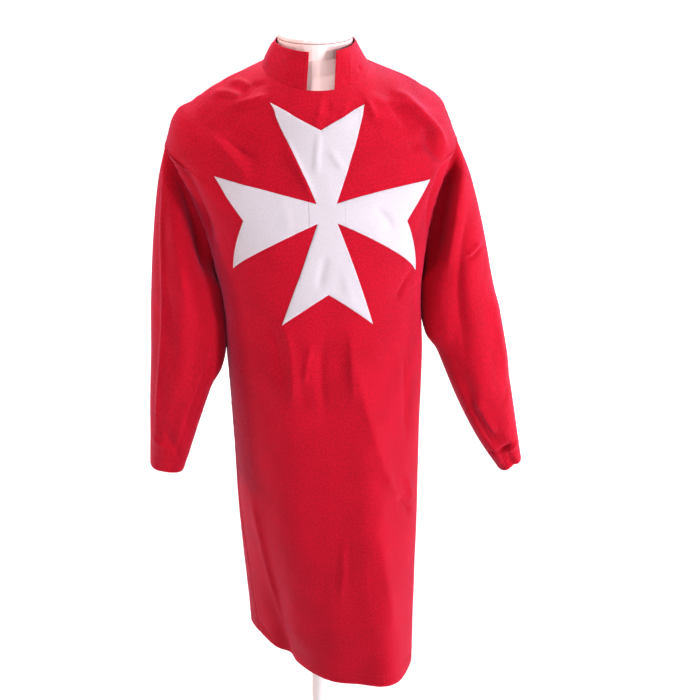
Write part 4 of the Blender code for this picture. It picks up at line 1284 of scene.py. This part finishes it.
def add_node(tree, kind, inputs, **settings):
    """A node of one kind with its settings and some of its inputs set."""
    made = tree.nodes.new("ShaderNode" + kind)
    for setting, value in settings.items():
        setattr(made, setting, value)
    for socket, value in inputs.items():
        made.inputs[socket].default_value = value
    return made


def link(tree, source, output, target, socket):
    """Join two node sockets, each by its name or number."""
    tree.links.new(source.outputs[output], target.inputs[socket])


def add_noise(tree, place, output, scale, detail):
    """A noise texture over a place."""
    noise = add_node(tree, "TexNoise", {"Scale": scale, "Detail": detail})
    link(tree, place, output, noise, "Vector")
    return noise


def add_ramp(tree, source, output, colours, low=0.0, high=1.0):
    """A ramp from one colour to another."""
    ramp = add_node(tree, "ValToRGB", {})
    for number, position in enumerate((low, high)):
        ramp.color_ramp.elements[number].position = position
        ramp.color_ramp.elements[number].color = colours[number]
    link(tree, source, output, ramp, "Fac")
    return ramp


def add_bump(tree, source, output, shader, strength, distance):
    """Fine relief on a shader."""
    bump = add_node(tree, "Bump", {"Strength": strength, "Distance": distance})
    link(tree, source, output, bump, "Height")
    link(tree, bump, "Normal", shader, "Normal")


def cloth_material(weave):
    """Woven cotton: yarns, slubs, uneven dye and a soft bloom at grazing angles."""
    made, tree, shader = node_material(weave.name, {
        "Roughness": CLOTH_ROUGHNESS, "Specular IOR Level": CLOTH_SPECULAR, "Sheen Weight": weave.sheen,
        "Sheen Roughness": SHEEN_ROUGHNESS, "Sheen Tint": weave.sheen_tint})
    cloth = add_node(tree, "UVMap", {}, uv_map="cloth")
    turned = add_node(tree, "Mapping", {"Rotation": (0.0, 0.0, math.radians(weave.turn))})
    link(tree, cloth, "UV", turned, "Vector")
    yarns = []
    for direction, source, output in (("X", turned, "Vector"), ("Y", cloth, "UV")):
        yarn = add_node(tree, "TexWave", {
            "Scale": BANDS_TO_SCALE / weave.pitch, "Distortion": WEAVE_DISTORTION, "Detail": 2.0},
            bands_direction=direction)
        link(tree, source, output, yarn, "Vector")
        yarns.append(yarn)
    lesser = add_node(tree, "Math", {1: WEAVE_SHARES[1]}, operation="MULTIPLY")
    link(tree, yarns[1], "Fac", lesser, 0)
    woven = add_node(tree, "Math", {1: WEAVE_SHARES[0]}, operation="MULTIPLY_ADD")
    link(tree, yarns[0], "Fac", woven, 0)
    link(tree, lesser, "Value", woven, 2)
    grain = add_noise(tree, cloth, "UV", *YARN_NOISE)
    patches = add_noise(tree, cloth, "UV", *DYE_NOISE)
    dye = add_node(tree, "Mix", {"Factor": DYE_PATCHES})
    link(tree, grain, "Fac", dye, "A")
    link(tree, patches, "Fac", dye, "B")
    ramp = add_ramp(tree, dye, "Result", (weave.dark, weave.light), *DYE_RANGE)
    link(tree, ramp, "Color", shader, "Base Color")
    height = add_node(tree, "Math", {1: SLUB_HEIGHT}, operation="MULTIPLY_ADD")
    link(tree, grain, "Fac", height, 0)
    link(tree, woven, "Value", height, 2)
    add_bump(tree, height, "Value", shader, weave.relief, CLOTH_RELIEF_DEPTH)
    return made


def grained_material(name, inputs, colours, grain):
    """A material whose colour and relief follow one grain; also its tree, shader and nodes."""
    made, tree, shader = node_material(name, inputs)
    place = add_node(tree, "TexCoord", {})
    noise = add_noise(tree, place, "Object", grain.scale, grain.detail)
    ramp = add_ramp(tree, noise, "Fac", colours)
    link(tree, ramp, "Color", shader, "Base Color")
    add_bump(tree, noise, "Fac", shader, grain.strength, grain.depth)
    return made, tree, shader, noise, ramp


def covering_material(name, top_painted_light):
    """The dress form's smooth skin-coloured covering, with painted light where it faces up: a second
    colour blended in by the normal, painted shade on the torso and a painted highlight on the neck cap.
    """
    made, tree, shader, _, ramp = grained_material(name, {"Roughness": COVERING_ROUGHNESS}, COVERING,
                                                   COVERING_GRAIN)
    # Painted light: the top colour is blended in by how far up each face looks
    split = add_node(tree, "SeparateXYZ", {})
    link(tree, add_node(tree, "NewGeometry", {}), "Normal", split, "Vector")
    top = add_node(tree, "MapRange", {"From Min": PAINTED_LIGHT_TOP_FROM, "From Max": PAINTED_LIGHT_TOP_TO},
                   interpolation_type="SMOOTHSTEP")
    link(tree, split, "Z", top, "Value")
    paint = add_node(tree, "Mix", {MIX_COLOUR_B: top_painted_light}, data_type="RGBA")
    link(tree, top, "Result", paint, "Factor")
    link(tree, ramp, "Color", paint, MIX_COLOUR_A)
    link(tree, paint, MIX_COLOUR_RESULT, shader, "Base Color")
    return made


def paint_material():
    """White powder-coated metal."""
    made, tree, shader, noise, _ = grained_material("white_paint", {"Coat Weight": PAINT_COAT}, PAINT,
                                                    PAINT_GRAIN)
    rough = add_node(tree, "MapRange", {"To Min": PAINT_ROUGHNESS[0], "To Max": PAINT_ROUGHNESS[1]})
    link(tree, noise, "Fac", rough, "Value")
    link(tree, rough, "Result", shader, "Roughness")
    return made


def make_world():
    """White surroundings, brighter to the right and brightest along the horizon."""
    world = bpy.data.worlds.new("studio")
    bpy.context.scene.world = world
    world.use_nodes = True
    tree = world.node_tree
    background = tree.nodes["Background"]
    background.inputs["Color"].default_value = WHITE
    place = add_node(tree, "TexCoord", {})
    towards = add_node(tree, "VectorMath", {1: Vector(BRIGHT_SIDE).normalized()},
                       operation="DOT_PRODUCT")
    link(tree, place, "Generated", towards, 0)
    level = add_node(tree, "MapRange", {"From Min": -1.0, "From Max": 1.0, "To Min": WORLD_DIM,
                                        "To Max": WORLD_BRIGHT})
    link(tree, towards, "Value", level, "Value")
    split = add_node(tree, "SeparateXYZ", {})
    link(tree, place, "Generated", split, "Vector")
    horizon = add_node(tree, "MapRange", {"From Max": HORIZON_HEIGHT, "To Min": HORIZON_BRIGHT,
                                          "To Max": 0.0}, interpolation_type="SMOOTHSTEP")
    link(tree, split, "Z", horizon, "Value")
    brighter = add_node(tree, "Math", {}, operation="MAXIMUM")
    link(tree, level, "Result", brighter, 0)
    link(tree, horizon, "Result", brighter, 1)
    link(tree, brighter, "Value", background, "Strength")


def make_floor():
    """A pale floor that glows by itself further out, where the lamps' light falls off."""
    bpy.ops.mesh.primitive_plane_add(size=FLOOR_SIZE, location=(0.0, 0.0, 0.0))
    floor = bpy.context.object
    floor.name = "floor"
    made, tree, shader = node_material("pale_floor", {
        "Roughness": FLOOR_ROUGHNESS, "Specular IOR Level": FLOOR_SPECULAR, "Emission Color": WHITE})
    place = add_node(tree, "TexCoord", {})
    reach = add_node(tree, "VectorMath", {}, operation="LENGTH")
    link(tree, place, "Object", reach, 0)
    glow = add_node(tree, "MapRange", {"From Min": FLOOR_GLOW_FROM, "From Max": FLOOR_GLOW_TO,
                                       "To Max": FLOOR_GLOW}, interpolation_type="SMOOTHSTEP")
    link(tree, reach, "Value", glow, "Value")
    link(tree, glow, "Result", shader, "Emission Strength")
    grain = add_noise(tree, place, "Object", *FLOOR_NOISE)
    link(tree, add_ramp(tree, grain, "Fac", PALE_FLOOR), "Color", shader, "Base Color")
    floor.data.materials.append(made)


def make_lights():
    """Round soft lamps that all aim at the middle of the tunic."""
    for facts in LAMPS:
        lamp = bpy.data.lights.new(facts.name, "AREA")
        lamp.shape = "DISK"
        lamp.size = facts.size
        lamp.energy = facts.power
        lamp.color = facts.colour
        item = bpy.data.objects.new(facts.name, lamp)
        item.location = facts.place
        way = Vector(LAMPS_AIM) - Vector(facts.place)
        item.rotation_euler = way.to_track_quat("-Z", "Y").to_euler()
        bpy.context.scene.collection.objects.link(item)


def make_camera():
    """The photograph's view."""
    lens = bpy.data.cameras.new("camera")
    lens.sensor_width = CAMERA_SENSOR
    lens.lens = CAMERA_LENS
    item = bpy.data.objects.new("camera", lens)
    item.location = CAMERA_PLACE
    item.rotation_euler = (math.radians(CAMERA_TILT), 0.0, math.radians(CAMERA_TURN))
    bpy.context.scene.collection.objects.link(item)
    bpy.context.scene.camera = item


def main():
    """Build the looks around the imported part."""
    view = bpy.context.scene.view_settings
    view.view_transform = "Standard"
    view.gamma = VIEW_GAMMA
    make_camera()
    make_world()
    make_floor()
    make_lights()
    surfaces = {
        "red": cloth_material(RED_CLOTH),
        "white": cloth_material(WHITE_CLOTH),
    }
    for name, colours in (("red_thread", RED_THREAD), ("white_thread", WHITE_THREAD)):
        surfaces[name] = grained_material(name, {"Roughness": THREAD_ROUGHNESS}, colours,
                                          THREAD_GRAIN)[0]
    grid, facing, pieces = make_cloth(surfaces)
    cross = make_cross(grid, facing, surfaces)
    for part, piece in cross.items():
        pieces["cross_" + part] = piece
    # The torso's top gets painted shade and the neck cap's top a painted highlight where they face up
    covering = covering_material("form_covering", COVERING_TOP_PAINTED_SHADE)
    cap = covering_material("form_cap", CAP_TOP_PAINTED_HIGHLIGHT)
    paint = paint_material()
    for name, surface in (("form_torso", covering), ("neck_cap", cap), ("pole_flange", paint),
                          ("stand_pole", paint), ("stand_foot", paint)):
        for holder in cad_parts[name].material_slots:
            holder.material = surface


main()
